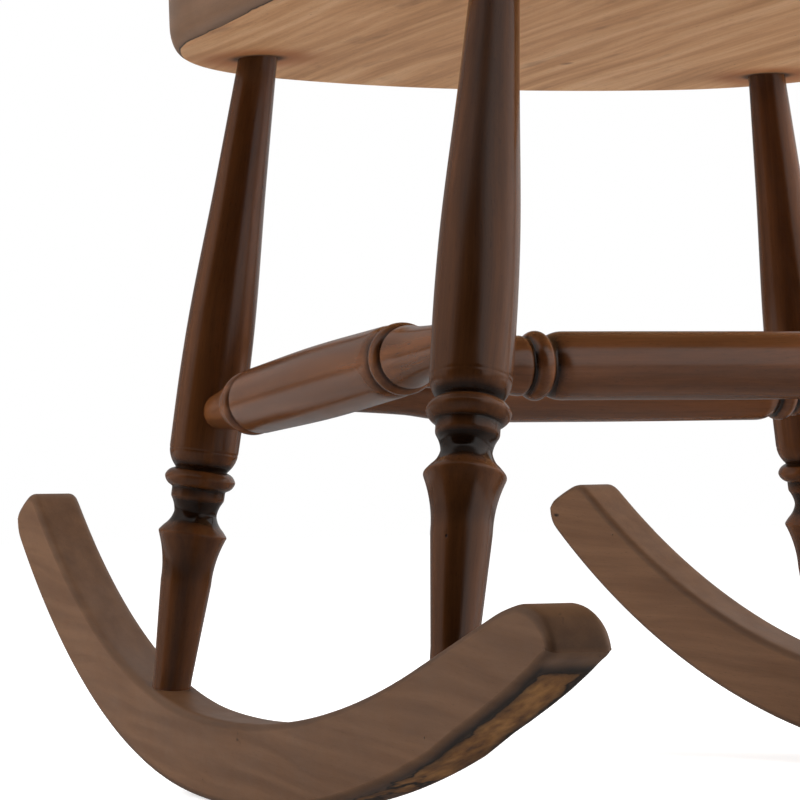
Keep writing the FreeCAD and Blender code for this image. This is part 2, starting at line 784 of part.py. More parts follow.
def stretcher_end(shoulder, groove):
    """Stations of one stretcher end, from the tenon's tip to the groove beside the barrel."""
    return [
        ("stretcher_tenon_radius", shoulder + " - stretcher_tenon"),
        ("stretcher_tenon_radius", shoulder),
        ("stretcher_end_radius", shoulder + " + stretcher_end_rounding", "stretcher_end_rounding", 1),
        ("stretcher_bead_radius", groove + " - stretcher_bead_reach"),
        ("stretcher_ring_foot_radius", groove + " - stretcher_ring_foot_reach"),
        ("stretcher_ring_radius", groove + " - stretcher_ring_reach"),
        ("stretcher_groove_radius", groove),
    ]


def far_end(stations, reach):
    """The same stations counted back from the far joint, with their arcs kept on their runs."""
    count = len(stations)
    turned_round = []
    for index in range(count):
        own = stations[count - 1 - index]
        arc = stations[count - index][2:] if index else ()
        turned_round.append((own[0], reach + " " + negated(own[1])) + tuple(arc))
    return turned_round


def build_stretcher(label, start, end, shoulders, necks, swell, shoulder_radius_name):
    """One stretcher between two joints: shoulders and necks are sizes for its two ends."""
    reach = put(label + "_reach", end.sub(start).Length)
    middle_place = put(label + "_middle", (size(reach) + size(necks[0]) - size(necks[1])) / 2)
    sheet.recompute()
    rising = stretcher_end(shoulders[0], necks[0])
    falling = far_end(stretcher_end(shoulders[1], necks[1]), reach)
    falling[0] = falling[0] + ("stretcher_shoulder_rounding", 1)
    barrel = [
        (shoulder_radius_name, necks[0] + " + stretcher_shoulder", "stretcher_shoulder_rounding", 1),
        (swell, middle_place),
        (shoulder_radius_name, reach + " - " + necks[1] + " - stretcher_shoulder"),
    ]
    body = turned(label, rising + barrel + falling, negated(rising[0][1]))
    axis = unit(end.sub(start))
    stand(body, start + axis * total(rising[0][1]), axis)
    return body


def stand_off(radius, axis, rail):
    """Distance from a round piece's axis to where a rail's shoulder just clears it."""
    lean_in = abs(unit(axis).dot(unit(rail)))
    level_part = math.sqrt(1 - lean_in ** 2)
    return (radius + size("stretcher_tenon_radius") * lean_in) / level_part + size("joint_clearance")


def build_spindle(label, foot, head, kind, belly_share, head_end):
    """One plain turned spindle that swells below its middle."""
    reach = head.sub(foot).Length
    names = {"tenon": kind + "_foot_tenon"}
    names["belly"] = put(label + "_belly", reach * belly_share)
    names["reach"] = put(label + "_reach", reach)
    sheet.recompute()
    stations = [
        (kind + "_foot_radius", "- " + names["tenon"]),
        (kind + "_foot_radius", kind + "_foot_straight"),
        (kind + "_belly_radius", names["belly"]),
        (kind + "_head_radius", names["reach"] + " - " + head_end[0]),
        (kind + "_head_radius", names["reach"] + " " + head_end[1]),
    ]
    body = turned(label, stations, "+ " + names["tenon"])
    axis = unit(head.sub(foot))
    stand(body, foot - axis * size(names["tenon"]), axis)
    return body


def build_post(label, foot, head):
    """Turned front post: a vase belly, a waist, a ring and a neck under the arm."""
    reach = head.sub(foot).Length
    put(label + "_reach", reach)
    for name, share in POST_SHARES.items():
        put("%s_%s" % (label, name), reach * share)
    sheet.recompute()
    stations = [
        ("post_foot_radius", "- post_foot_tenon"),
        ("post_foot_radius", "post_foot_straight"),
        ("post_belly_radius", label + "_belly"),
        ("post_waist_radius", label + "_waist"),
        ("post_ring_radius", label + "_ring"),
        ("post_waist_radius", label + "_neck"),
        ("post_head_radius", label + "_reach - post_head_straight"),
        ("post_head_radius", label + "_reach + post_head_tenon"),
    ]
    body = turned(label, stations, "+ post_foot_tenon")
    axis = unit(head.sub(foot))
    stand(body, foot - axis * size("post_foot_tenon"), axis)
    return body


# The hoop's sides climb from the seat and pass through the arms
left_hoop_foot = in_hoop(size("hoop_foot_half_spacing"), 0)
left_hoop_side = in_hoop(size("arm_line"), arm_up)

pieces = {"seat": build_seat()}
for name, side in SIDES:
    pieces["rocker_" + name] = build_rocker("rocker_" + name, side)
    pieces["arm_" + name] = build_arm("arm_" + name, side)
pieces["hoop"] = build_hoop()
seat = pieces["seat"]
hoop = pieces["hoop"]

# Legs, and the joints of the stretchers that run along each side and across between them
left_points = {end: leg_points(end) for end in ("front", "rear")}
left_joints = {end: along(foot, head, size("side_stretcher_height"))
               for end, (foot, head) in left_points.items()}
left_run = left_joints["front"].sub(left_joints["rear"])
for end, (foot, head) in left_points.items():
    put("side_%s_shoulder" % end, stand_off(size("leg_belly_radius"), head.sub(foot), left_run))
    put("cross_%s_shoulder" % end, stand_off(size("side_barrel_radius"), left_run, vector(1, 0, 0)))
left_stations = {end: along(left_joints["rear"], left_joints["front"], size("cross_%s_station" % end))
                 for end in ("front", "rear")}

for name, side in SIDES:
    rail_run = mirrored(left_run, side)
    for end, (left_foot, left_head) in left_points.items():
        foot = mirrored(left_foot, side)
        head = mirrored(left_head, side)
        up = head.sub(foot)
        label = "leg_%s_%s" % (end, name)
        leg = build_leg(label, foot, head)
        pieces[label] = leg
        drill(seat, label + "_head_socket", head, up, "leg_head_radius", "leg_head_tenon")
        rocker = pieces["rocker_" + name]
        drill(rocker, label + "_let_in", foot, up * -1, "leg_foot_radius", "leg_foot_let_in")
        drill(rocker, label + "_foot_socket", foot, up * -1, "leg_foot_tenon_radius", "leg_foot_tenon")
        sign = 1 if end == "rear" else -1
        into = rail_run * -sign
        surface = mirrored(left_joints[end], side) - unit(into) * size("side_%s_shoulder" % end)
        drill(leg, label + "_rail_socket", surface, into, "stretcher_tenon_radius", "stretcher_tenon")
    label = "side_stretcher_" + name
    rail = build_stretcher(
        label, mirrored(left_joints["rear"], side), mirrored(left_joints["front"], side),
        ("side_rear_shoulder", "side_front_shoulder"), ("side_rear_neck", "side_front_neck"),
        "side_barrel_radius", "side_barrel_end_radius")
    pieces[label] = rail
    for end in ("front", "rear"):
        into = vector(side, 0, 0)
        surface = mirrored(left_stations[end], side) - into * size("cross_%s_shoulder" % end)
        drill(rail, "%s_%s_socket" % (label, end), surface, into,
              "stretcher_tenon_radius", "stretcher_tenon")

for end in ("front", "rear"):
    label = "cross_stretcher_" + end
    shoulder = "cross_%s_shoulder" % end
    pieces[label] = build_stretcher(
        label, mirrored(left_stations[end], -1), left_stations[end],
        (shoulder, shoulder), ("cross_neck", "cross_neck"),
        "cross_barrel_radius", "cross_barrel_end_radius")

# Back spindles fan out from an arc inside the seat's rear edge to the hoop
fan_radius = total("seat_rear_radius - spindle_edge_inset")
for number in range(SPINDLE_COUNT):
    step = number - (SPINDLE_COUNT - 1) / 2
    foot_across = step * size("spindle_foot_spacing")
    head_across = step * size("spindle_head_spacing")
    foot = on_seat(foot_across, rear_centre + math.sqrt(fan_radius ** 2 - foot_across ** 2),
                   size("seat_thickness"))
    head = in_hoop(head_across, hoop_up(head_across))
    label = "back_spindle_%d" % (number + 1)
    pieces[label] = build_spindle(label, foot, head, "spindle", SPINDLE_BELLY_SHARE,
                                  ("hoop_bar_radius", "- spindle_head_stop"))
    up = unit(head.sub(foot))
    drill(seat, label + "_foot_socket", foot, up * -1, "spindle_foot_radius", "spindle_foot_tenon")
    drill(hoop, label + "_head_socket", head - up * size("hoop_bar_radius"), up,
          "spindle_head_radius", "hoop_bar_radius - spindle_head_stop")

# The hoop's feet, and the posts and short spindles under the arms
arm_base = total("seat_thickness + arm_rise")
for name, side in SIDES:
    arm = pieces["arm_" + name]
    hoop_foot = mirrored(left_hoop_foot, side)
    drill(seat, "hoop_%s_socket" % name, hoop_foot, hoop_foot - mirrored(left_hoop_side, side),
          "hoop_bar_radius", "hoop_tenon")
    foot = mirrored(on_seat(size("post_foot_half_spacing"), -size("post_foot_forward"),
                            size("seat_thickness")), side)
    head = mirrored(on_seat(size("post_head_half_spacing"), -size("post_head_forward"), arm_base), side)
    label = "arm_post_" + name
    pieces[label] = build_post(label, foot, head)
    up = head.sub(foot)
    drill(seat, label + "_foot_socket", foot, up * -1, "post_foot_radius", "post_foot_tenon")
    drill(arm, label + "_head_socket", head, up, "post_head_radius", "post_head_tenon")
    for number in range(BALUSTERS_PER_SIDE):
        foot_back = number * size("baluster_foot_pitch") - size("baluster_foot_start")
        head_back = number * size("baluster_head_pitch") - size("baluster_head_start")
        foot = mirrored(on_seat(size("baluster_foot_half_spacing"), foot_back,
                                size("seat_thickness")), side)
        head = mirrored(on_seat(size("baluster_head_half_spacing"), head_back, arm_base), side)
        label = "arm_spindle_%s_%d" % (name, number + 1)
        pieces[label] = build_spindle(label, foot, head, "baluster", BALUSTER_BELLY_SHARE,
                                      ("baluster_head_straight", "+ baluster_head_tenon"))
        up = head.sub(foot)
        drill(seat, label + "_foot_socket", foot, up * -1, "baluster_foot_radius", "baluster_foot_tenon")
        drill(arm, label + "_head_socket", head, up, "baluster_head_radius", "baluster_head_tenon")

# One screw runs in from each arm's outer side to the hoop, with a wooden plug over its head
arm_middle = total("seat_thickness + arm_rise + arm_half_thickness")
screw_back = size("arm_crossing_back")
waist_back = -size("arm_waist_forward")
side_share = (screw_back - waist_back) / (size("arm_tail_back") - waist_back)
outer_face = size("arm_waist_outer") + side_share * (size("arm_tail_outer") - size("arm_waist_outer"))
groups = {"arm_screws": [], "arm_screw_plugs": []}
for name, side in SIDES:
    arm = pieces["arm_" + name]
    plug_face = mirrored(on_seat(outer_face - size("plug_inset"), screw_back, arm_middle), side)
    inward = vector(-side, 0, 0)
    head_face = plug_face + inward * total("plug_length + joint_clearance")
    drill(arm, "arm_%s_plug_bore" % name, plug_face, inward,
          "plug_radius", "plug_length + joint_clearance + screw_head_length")
    drill(arm, "arm_%s_screw_bore" % name, head_face, inward, "screw_shank_radius", "screw_length")
    drill(hoop, "hoop_%s_screw_bore" % name, head_face, inward, "screw_shank_radius", "screw_length")
    screw = turned("arm_screw_" + name, [
        ("screw_shank_radius", ""),
        ("screw_shank_radius", "screw_length - screw_head_length"),
        ("screw_head_radius", "screw_length"),
    ], "")
    plug = turned("arm_plug_" + name, [("plug_radius", ""), ("plug_radius", "plug_length")], "")
    stand(screw, head_face + inward * size("screw_length"), inward * -1)
    stand(plug, plug_face + inward * size("plug_length"), inward * -1)
    groups["arm_screws"].append(screw)
    groups["arm_screw_plugs"].append(plug)
for label, members in groups.items():
    group = document.addObject("Part::Compound", label)
    group.Label = label
    group.Links = members
    pieces[label] = group
document.recompute()

for item in document.Objects:
    if any(word in item.State for word in ("Invalid", "Error")):
        raise RuntimeError("failed: %s %s" % (item.Name, item.State))
for label, piece in pieces.items():
    if piece.Shape.isNull() or not piece.Shape.isValid() or not piece.Shape.Solids:
        raise RuntimeError("bad shape: " + label)

os.makedirs("parts", exist_ok=True)
for label, piece in pieces.items():
    piece.Shape.exportStep(os.path.join("parts", label + ".step"))
print("pieces", len(pieces))
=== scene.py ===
"""Hoop back rocking chair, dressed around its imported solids.

Sizes are in millimetres, as a joiner writes them. A mesh is written in metres.
"""

import logging
import math
from dataclasses import dataclass, field
from enum import Enum
from functools import partial
from typing import Any, Iterable, Sequence

import bpy
import numpy as np
from mathutils import Matrix, Vector


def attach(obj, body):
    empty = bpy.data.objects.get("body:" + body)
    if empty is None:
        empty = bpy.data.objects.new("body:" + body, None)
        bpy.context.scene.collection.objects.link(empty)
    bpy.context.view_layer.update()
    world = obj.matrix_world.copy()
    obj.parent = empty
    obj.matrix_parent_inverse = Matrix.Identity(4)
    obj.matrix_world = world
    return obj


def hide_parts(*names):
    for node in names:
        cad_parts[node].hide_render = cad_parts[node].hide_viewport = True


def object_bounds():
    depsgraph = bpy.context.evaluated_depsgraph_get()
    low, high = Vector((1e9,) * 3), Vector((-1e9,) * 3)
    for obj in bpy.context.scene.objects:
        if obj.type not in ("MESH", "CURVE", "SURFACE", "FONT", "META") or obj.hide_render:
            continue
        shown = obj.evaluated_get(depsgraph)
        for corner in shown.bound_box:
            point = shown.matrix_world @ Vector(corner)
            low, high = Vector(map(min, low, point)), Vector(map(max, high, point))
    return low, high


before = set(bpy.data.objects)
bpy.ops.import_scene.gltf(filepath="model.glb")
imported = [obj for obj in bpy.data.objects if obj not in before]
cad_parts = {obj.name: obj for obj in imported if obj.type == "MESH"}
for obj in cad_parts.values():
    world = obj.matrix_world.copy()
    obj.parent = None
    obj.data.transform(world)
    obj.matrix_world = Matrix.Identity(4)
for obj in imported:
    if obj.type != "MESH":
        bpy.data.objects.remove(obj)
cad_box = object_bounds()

MM = 0.001
RIGHT, LEFT = -1, 1
SIDES = {"right": RIGHT, "left": LEFT}
CREASE = math.radians(38.0)

Tree = bpy.types.NodeTree
Socket = bpy.types.NodeSocket
Finish = bpy.types.Material
Faces = list[tuple[int, ...]]

log = logging.getLogger("rocking_chair")


# Small tools


def linear(code: str) -> tuple[float, float, float, float]:
    """Turn an sRGB hex colour into linear light.

    Args:
        code: Six hex digits.

    Returns:
        Red, green, blue and an opaque alpha.
    """
    parts = [int(code[i:i + 2], 16) / 255 for i in (0, 2, 4)]
    red, green, blue = [p / 12.92 if p <= 0.04045 else ((p + 0.055) / 1.055) ** 2.4 for p in parts]
    return red, green, blue, 1.0


def add_node(tree: Tree, kind: str, inputs: dict[Any, Any] | Sequence[Any] = (), output: int | str = 0,
             **settings: Any) -> Socket | None:
    """Add one node with its settings, and fill or link its inputs.

    Args:
        tree: Node tree that gets the node.
        kind: Blender's name of the node type, after its ShaderNode.
        inputs: Plain values or output sockets, in the order of the node's sockets or by name or number.
        output: Name or number of the output that is wanted.
        **settings: Properties of the node.

    Returns:
        That output, or None from a node without any.
    """
    node = tree.nodes.new("ShaderNode" + kind)
    for name, value in settings.items():
        setattr(node, name, value)
    for key, value in inputs.items() if isinstance(inputs, dict) else enumerate(inputs):
        if isinstance(value, Socket):
            tree.links.new(value, node.inputs[key])
        else:
            node.inputs[key].default_value = value
    return node.outputs[output] if node.outputs else None


def cleared_tree(owner: bpy.types.Material | bpy.types.World) -> Tree:
    """Turn on the nodes of a material or world, and empty its tree."""
    owner.use_nodes = True
    owner.node_tree.nodes.clear()
    return owner.node_tree


def per_mm(across: float, along: float) -> tuple[float, float, float]:
    """Noise scale for a pattern of a real size, across and along the grain, in millimetres."""
    return 1 / (across * MM), 1 / (across * MM), 1 / (along * MM)


def arc_points(start: np.ndarray, end: np.ndarray, bend: float, step: float) -> np.ndarray:
    """Walk along the short arc between two points of a drawing.

    Args:
        start: First point.
        end: Last point.
        bend: Radius, positive where the arc bulges to the right of the way.
        step: Distance between points.

    Returns:
        Points after start, up to and with end.
    """
    chord = end - start
    half = np.linalg.norm(chord) / 2
    heading = chord / (2 * half)
    outward = np.array([heading[1], -heading[0]]) * math.copysign(1, bend)
    radius = abs(bend)
    centre = (start + end) / 2 - outward * math.sqrt(max(radius ** 2 - half ** 2, 0))
    sweep = math.asin(min(half / radius, 1))
    count = max(2, math.ceil(2 * sweep * radius / step))
    angles = np.linspace(-sweep, sweep, count + 1)[1:]
    return centre + radius * (np.outer(np.cos(angles), outward) + np.outer(np.sin(angles), heading))


def traced(corners: Sequence[tuple[Sequence[float], float]]) -> np.ndarray:
    """Draw a line from corner to corner.

    Args:
        corners: Each place, and the radius of the arc that leads to it, or 0 after a straight run.

    Returns:
        Points of the line.
    """
    points = [np.array(corners[0][0])]
    for place, bend in corners[1:]:
        end = np.array(place)
        points.extend(arc_points(points[-1], end, bend, 1.0) if bend else [end])
    return np.array(points)


def inward_of(loop: np.ndarray) -> np.ndarray:
    """Directions square to a closed anticlockwise line, towards its inside."""
    heading = np.roll(loop, -1, axis=0) - np.roll(loop, 1, axis=0)
    heading = heading / np.linalg.norm(heading, axis=1)[:, None]
    return np.column_stack([-heading[:, 1], heading[:, 0]])


def spaced(points: np.ndarray, step: float, closed: bool = False) -> np.ndarray:
    """Space points evenly along a line through given points.

    Args:
        points: Line to follow.
        step: Wanted distance.
        closed: Whether the line comes back to its start.

    Returns:
        The evenly spaced points.
    """
    line = np.vstack([points, points[:1]]) if closed else points
    lengths = np.concatenate([[0], np.cumsum(np.linalg.norm(np.diff(line, axis=0), axis=1))])
    count = max(2, round(lengths[-1] / step))
    places = np.linspace(0, lengths[-1], count + 1)
    if closed:
        places = places[:-1]
    return np.column_stack([np.interp(places, lengths, line[:, i]) for i in range(line.shape[1])])


def blurred(values: np.ndarray, reach: float) -> np.ndarray:
    """Smooth numbers along a line with its ends held, reach in steps."""
    half = max(1, math.ceil(3 * reach))
    kernel = np.exp(-0.5 * (np.arange(-half, half + 1) / reach) ** 2)
    kernel /= kernel.sum()
    before = 2 * values[0] - values[half:0:-1] if len(values) > half else np.full(half, values[0])
    after = 2 * values[-1] - values[-2:-half - 2:-1] if len(values) > half + 1 else np.full(half, values[-1])
    return np.convolve(np.concatenate([before, values, after]), kernel, "valid")


def softened(line: np.ndarray, reach: float) -> np.ndarray:
    """Smooth a line of a drawing, reach in steps."""
    return np.column_stack([blurred(line[:, i], reach) for i in range(2)])


def length_of(line: np.ndarray) -> float:
    """Length of a line through points."""
    return sum(np.linalg.norm(np.diff(line, axis=0), axis=1))


def eased(heights: Sequence[float], radii: Sequence[float], wanted: np.ndarray) -> np.ndarray:
    """Draw a smooth curve through stations without overshooting any of them.

    Args:
        heights: Rising heights of the stations.
        radii: Radius at each.
        wanted: Heights where the radius is wanted.

    Returns:
        The radii.
    """
    xs, ys = np.array(heights, float), np.array(radii, float)
    slopes = np.diff(ys) / np.diff(xs)
    tangents = np.zeros(len(xs))
    tangents[0], tangents[-1] = slopes[0], slopes[-1]
    for i in range(1, len(xs) - 1):
        if slopes[i - 1] * slopes[i] > 0:
            tangents[i] = 2 * slopes[i - 1] * slopes[i] / (slopes[i - 1] + slopes[i])
    spot = np.clip(np.searchsorted(xs, wanted, "right") - 1, 0, len(xs) - 2)
    run = xs[spot + 1] - xs[spot]
    t = (wanted - xs[spot]) / run
    return ((2 * t ** 3 - 3 * t ** 2 + 1) * ys[spot] + (t ** 3 - 2 * t ** 2 + t) * run * tangents[spot]
            + (3 * t ** 2 - 2 * t ** 3) * ys[spot + 1] + (t ** 3 - t ** 2) * run * tangents[spot + 1])


# Meshes


@dataclass
class Form:
    """A mesh in the making: points in its own frame, faces, and marks for its finish."""

    points: np.ndarray
    faces: Faces
    marks: dict[str, np.ndarray] = field(default_factory=dict)
    grain: np.ndarray | None = None

    def joined(self, other: "Form") -> "Form":
        """Put two forms in one mesh."""
        shift = len(self.points)
        names = set(self.marks) | set(other.marks)
        marks = {name: np.concatenate([f.marks.get(name, np.zeros(len(f.points))) for f in (self, other)])
                 for name in names}
        grain = np.vstack([f.points if f.grain is None else f.grain for f in (self, other)])
        faces = self.faces + [tuple(i + shift for i in face) for face in other.faces]
        return Form(np.vstack([self.points, other.points]), faces, marks, grain)

    def placed(self, place: Matrix) -> "Form":
        """Carry the points by a placement and keep the grain in the piece's own frame."""
        turn = np.array(place.to_3x3())
        moved = self.points @ turn.T + np.array(place.translation)
        return Form(moved, self.faces, self.marks, self.points if self.grain is None else self.grain)


def skin(rings: Sequence[np.ndarray]) -> Faces:
    """Join closed rings of equal length with four-sided faces."""
    count = len(rings[0])
    faces = []
    for low in range(0, (len(rings) - 1) * count, count):
        for i in range(count):
            j = (i + 1) % count
            faces.append((low + i, low + j, low + count + j, low + count + i))
    return faces


def stacked(rings: Sequence[np.ndarray]) -> tuple[np.ndarray, Faces]:
    """Join rings with faces, and close the first and the last with one face each."""
    points = np.vstack(rings)
    count = len(rings[0])
    faces = skin(rings)
    faces.append(tuple(range(count - 1, -1, -1)))
    faces.append(tuple(range(len(points) - count, len(points))))
    return points, faces


def linked(name: str, data: bpy.types.ID) -> bpy.types.Object:
    """Put a new object with this data in the scene."""
    made = bpy.data.objects.new(name, data)
    bpy.context.scene.collection.objects.link(made)
    return made


def write_piece(name: str, form: Form, finish: Finish, nodes: Iterable[str]) -> None:
    """Write a mesh in metres, dress it, and let it stand for its solids.

    Args:
        name: Name of the piece.
        form: Mesh in the chair's frame.
        finish: Its material.
        nodes: Solids that it replaces.
    """
    mesh = bpy.data.meshes.new(name)
    mesh.from_pydata((form.points * MM).tolist(), [], form.faces)
    grain = form.points if form.grain is None else form.grain
    shift = np.random.default_rng(len(name) * 131 + sum(map(ord, name))).uniform(-900, 900, 3)
    held = mesh.attributes.new("grain", "FLOAT_VECTOR", "POINT")
    held.data.foreach_set("vector", ((grain + shift) * MM).astype(np.float32).ravel())
    for mark, values in form.marks.items():
        layer = mesh.attributes.new(mark, "FLOAT", "POINT")
        layer.data.foreach_set("value", values.astype(np.float32))
    mesh.materials.append(finish)
    mesh.validate()
    mesh.shade_smooth()
    mesh.set_sharp_from_angle(angle=CREASE)
    piece = linked(name, mesh)
    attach(piece, "root")
    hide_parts(*nodes)
    log.info("%s: %d faces for %s", name, len(mesh.polygons), ", ".join(nodes))


# Turning


class Cut(Enum):
    """How a turner's tool reaches the next station."""

    STRAIGHT = "straight"
    ARC = "arc"
    FLOW = "flow"


@dataclass(frozen=True)
class Station:
    """One place on a turned outline."""

    height: float
    radius: float
    cut: Cut = Cut.STRAIGHT
    bend: float = 0.0


@dataclass
class Turning:
    """A piece turned on the lathe between two points."""

    stations: list[Station]
    segments: int = 80
    scribes: tuple[float, ...] = ()
    scribe_depth: float = 0.18
    scribe_width: float = 0.35
    reaches: tuple[float, float, float] = (1.2, 4.0, 11.0)
    hollow_depths: tuple[float, float] = (0.7, 1.2)
    ridge_start: float = 0.1
    ridge_rise: float = 0.3
    step: float = 0.25
    softness: float = 0.45
    unevenness: float = 0.0016
    twist: float = 0.011

    def drawn(self) -> np.ndarray:
        """Draw the outline as (radius, height) points, a small step apart."""
        points = [np.array([self.stations[0].radius, self.stations[0].height])]
        index = 1
        while index < len(self.stations):
            here = self.stations[index]
            end = np.array([here.radius, here.height])
            if here.cut is Cut.FLOW:
                last = index
                while last + 1 < len(self.stations) and self.stations[last + 1].cut is Cut.FLOW:
                    last += 1
                run = self.stations[index - 1:last + 1]
                heights = np.arange(run[0].height, run[-1].height, 1.0)[1:]
                radii = eased([s.height for s in run], [s.radius for s in run], heights)
                points.extend(np.column_stack([radii, heights]))
                end = np.array([run[-1].radius, run[-1].height])
                index = last
            elif here.cut is Cut.ARC:
                points.extend(arc_points(points[-1], end, here.bend, self.step)[:-1])
            points.append(end)
            index += 1
        return spaced(np.array(points), self.step)

    def outline(self) -> tuple[np.ndarray, np.ndarray, np.ndarray]:
        """Soften the outline, cut its scribe lines and mark its hollows and ridges.

        Returns:
            Points (radius, height), depth of hollows and height of ridges, both 0 to 1.
        """
        sharp = self.drawn()
        soft = softened(sharp, self.softness / self.step)
        soft[0], soft[-1] = sharp[0], sharp[-1]
        for height in self.scribes:
            soft[:, 0] -= self.scribe_depth * np.exp(-0.5 * ((soft[:, 1] - height) / self.scribe_width) ** 2)
        narrow, near, wide = (blurred(soft[:, 0], reach / self.step) - soft[:, 0] for reach in self.reaches)
        small, large = self.hollow_depths
        # The hollow mark is painted shade in grooves and coves, over the stain that collects there.
        hollow = np.clip(np.maximum(near / small, wide / large), 0, 1)
        ridge = np.clip((-narrow - self.ridge_start) / self.ridge_rise, 0, 1)
        kept = self.thinned(soft)
        return soft[kept], hollow[kept], ridge[kept]

    def thinned(self, points: np.ndarray, error: float = 0.02, longest: float = 6.0) -> list[int]:
        """Choose the points that a ring is needed at.

        Args:
            points: Outline to thin.
            error: Most that a dropped point may lie off the line.
            longest: Longest stretch without a ring.

        Returns:
            Numbers of the kept points.
        """
        kept = [0]
        limit = max(1, int(longest / self.step))
        while kept[-1] < len(points) - 1:
            start = kept[-1]
            end = start + 1
            while end < min(start + limit, len(points) - 1):
                run = points[end + 1] - points[start]
                length = np.linalg.norm(run)
                inner = points[start + 1:end + 1] - points[start]
                if np.max(np.abs(inner[:, 0] * run[1] - inner[:, 1] * run[0])) / length > error:
                    break
                end += 1
            kept.append(end)
        return kept

    def form(self) -> Form:
        """Spin the outline round its axis, with a hand's small unevenness, and close its ends."""
        line, hollow, ridge = self.outline()
        angles = np.arange(self.segments) * 2 * math.pi / self.segments
        wave = np.sin(2 * angles[None, :] + line[:, 1:2] * self.twist)
        radii = line[:, :1] * (1 + self.unevenness * wave)
        up = np.repeat(line[:, 1:2], self.segments, axis=1)
        rings = np.stack([radii * np.cos(angles), radii * np.sin(angles), up], axis=2)
        points = rings.reshape(-1, 3)
        faces = skin(list(rings))
        count = len(points)
        last = count - self.segments
        points = np.vstack([points, [[0, 0, line[0, 1]], [0, 0, line[-1, 1]]]])
        for i in range(self.segments):
            j = (i + 1) % self.segments
            faces.append((count, j, i))
            faces.append((count + 1, last + i, last + j))
        marks = {name: np.append(np.repeat(mark, self.segments), [0, 0])
                 for name, mark in (("hollow", hollow), ("ridge", ridge))}
        return Form(points, faces, marks)


def between(start: Vector, end: Vector) -> Matrix:
    """Placement that stands a turned piece at start with its axis towards end."""
    turn = Vector((0, 0, 1)).rotation_difference(end - start)
    return Matrix.Translation(start) @ turn.to_matrix().to_4x4()


def write_turned(node: str, turning: Turning, start: Vector, end: Vector, finish: Finish) -> None:
    """Turn the piece for one solid and stand it from start to end."""
    form = turning.form().placed(between(start, end))
    write_piece("turned_" + node, form, finish, [node])


def mirrored(point: Vector, side: int) -> Vector:
    """Give a left-hand point for one side of the chair."""
    return Vector((point.x * side, point.y, point.z))


def along(start: Vector, end: Vector, distance: float) -> Vector:
    """Point at a distance from start towards end."""
    return start + (end - start).normalized() * distance


# Finishes


def pattern(tree: Tree, coords: Socket, size_mm: tuple[float, float], detail: float, rough: float = 0.55,
            output: str = "Fac") -> Socket:
    """Draw a cloudy pattern of a real size.

    Args:
        tree: Material's node tree.
        coords: Place in the timber, in metres, with the grain along Z.
        size_mm: Size of its marks across and along the grain.
        detail: Number of finer layers.
        rough: Strength of each finer layer.
        output: Output of the noise that is wanted.

    Returns:
        The pattern, with 0.5 as its middle.
    """
    stretched = add_node(tree, "VectorMath", (coords, per_mm(*size_mm)), operation="MULTIPLY")
    return add_node(tree, "TexNoise", {"Vector": stretched, "Scale": 1.0, "Detail": detail,
                                       "Roughness": rough}, output)


@dataclass(frozen=True)
class Tones:
    """Colours of one kind of timber under its stain."""

    deep: str
    body: str
    light: str
    pore: str


WALNUT = Tones(deep="462813", body="512F17", light="5C361B", pore="1E1109")
# Painted shade: a darker copy of WALNUT for the legs.
SHADED_WALNUT = Tones(deep="3F2310", body="492A14", light="533017", pore="1A0E07")
# Painted light: a lighter copy of WALNUT for the rungs.
LIT_WALNUT = Tones(deep="533018", body="5F381D", light="6C4021", pore="25160C")
SATIN = Tones(deep="563B27", body="5D412C", light="644731", pore="35220F")
# Painted sheen: a lighter copy of SATIN for the seat.
SHEEN_LIGHTENED_SATIN = Tones(deep="604632", body="684C37", light="70533D", pore="3A2519")
BARE = Tones(deep="B17F51", body="C89566", light="D6A87C", pore="6E4629")
GOLDEN = Tones(deep="5A3716", body="7E5222", light="9A6A32", pore="2E1C0C")


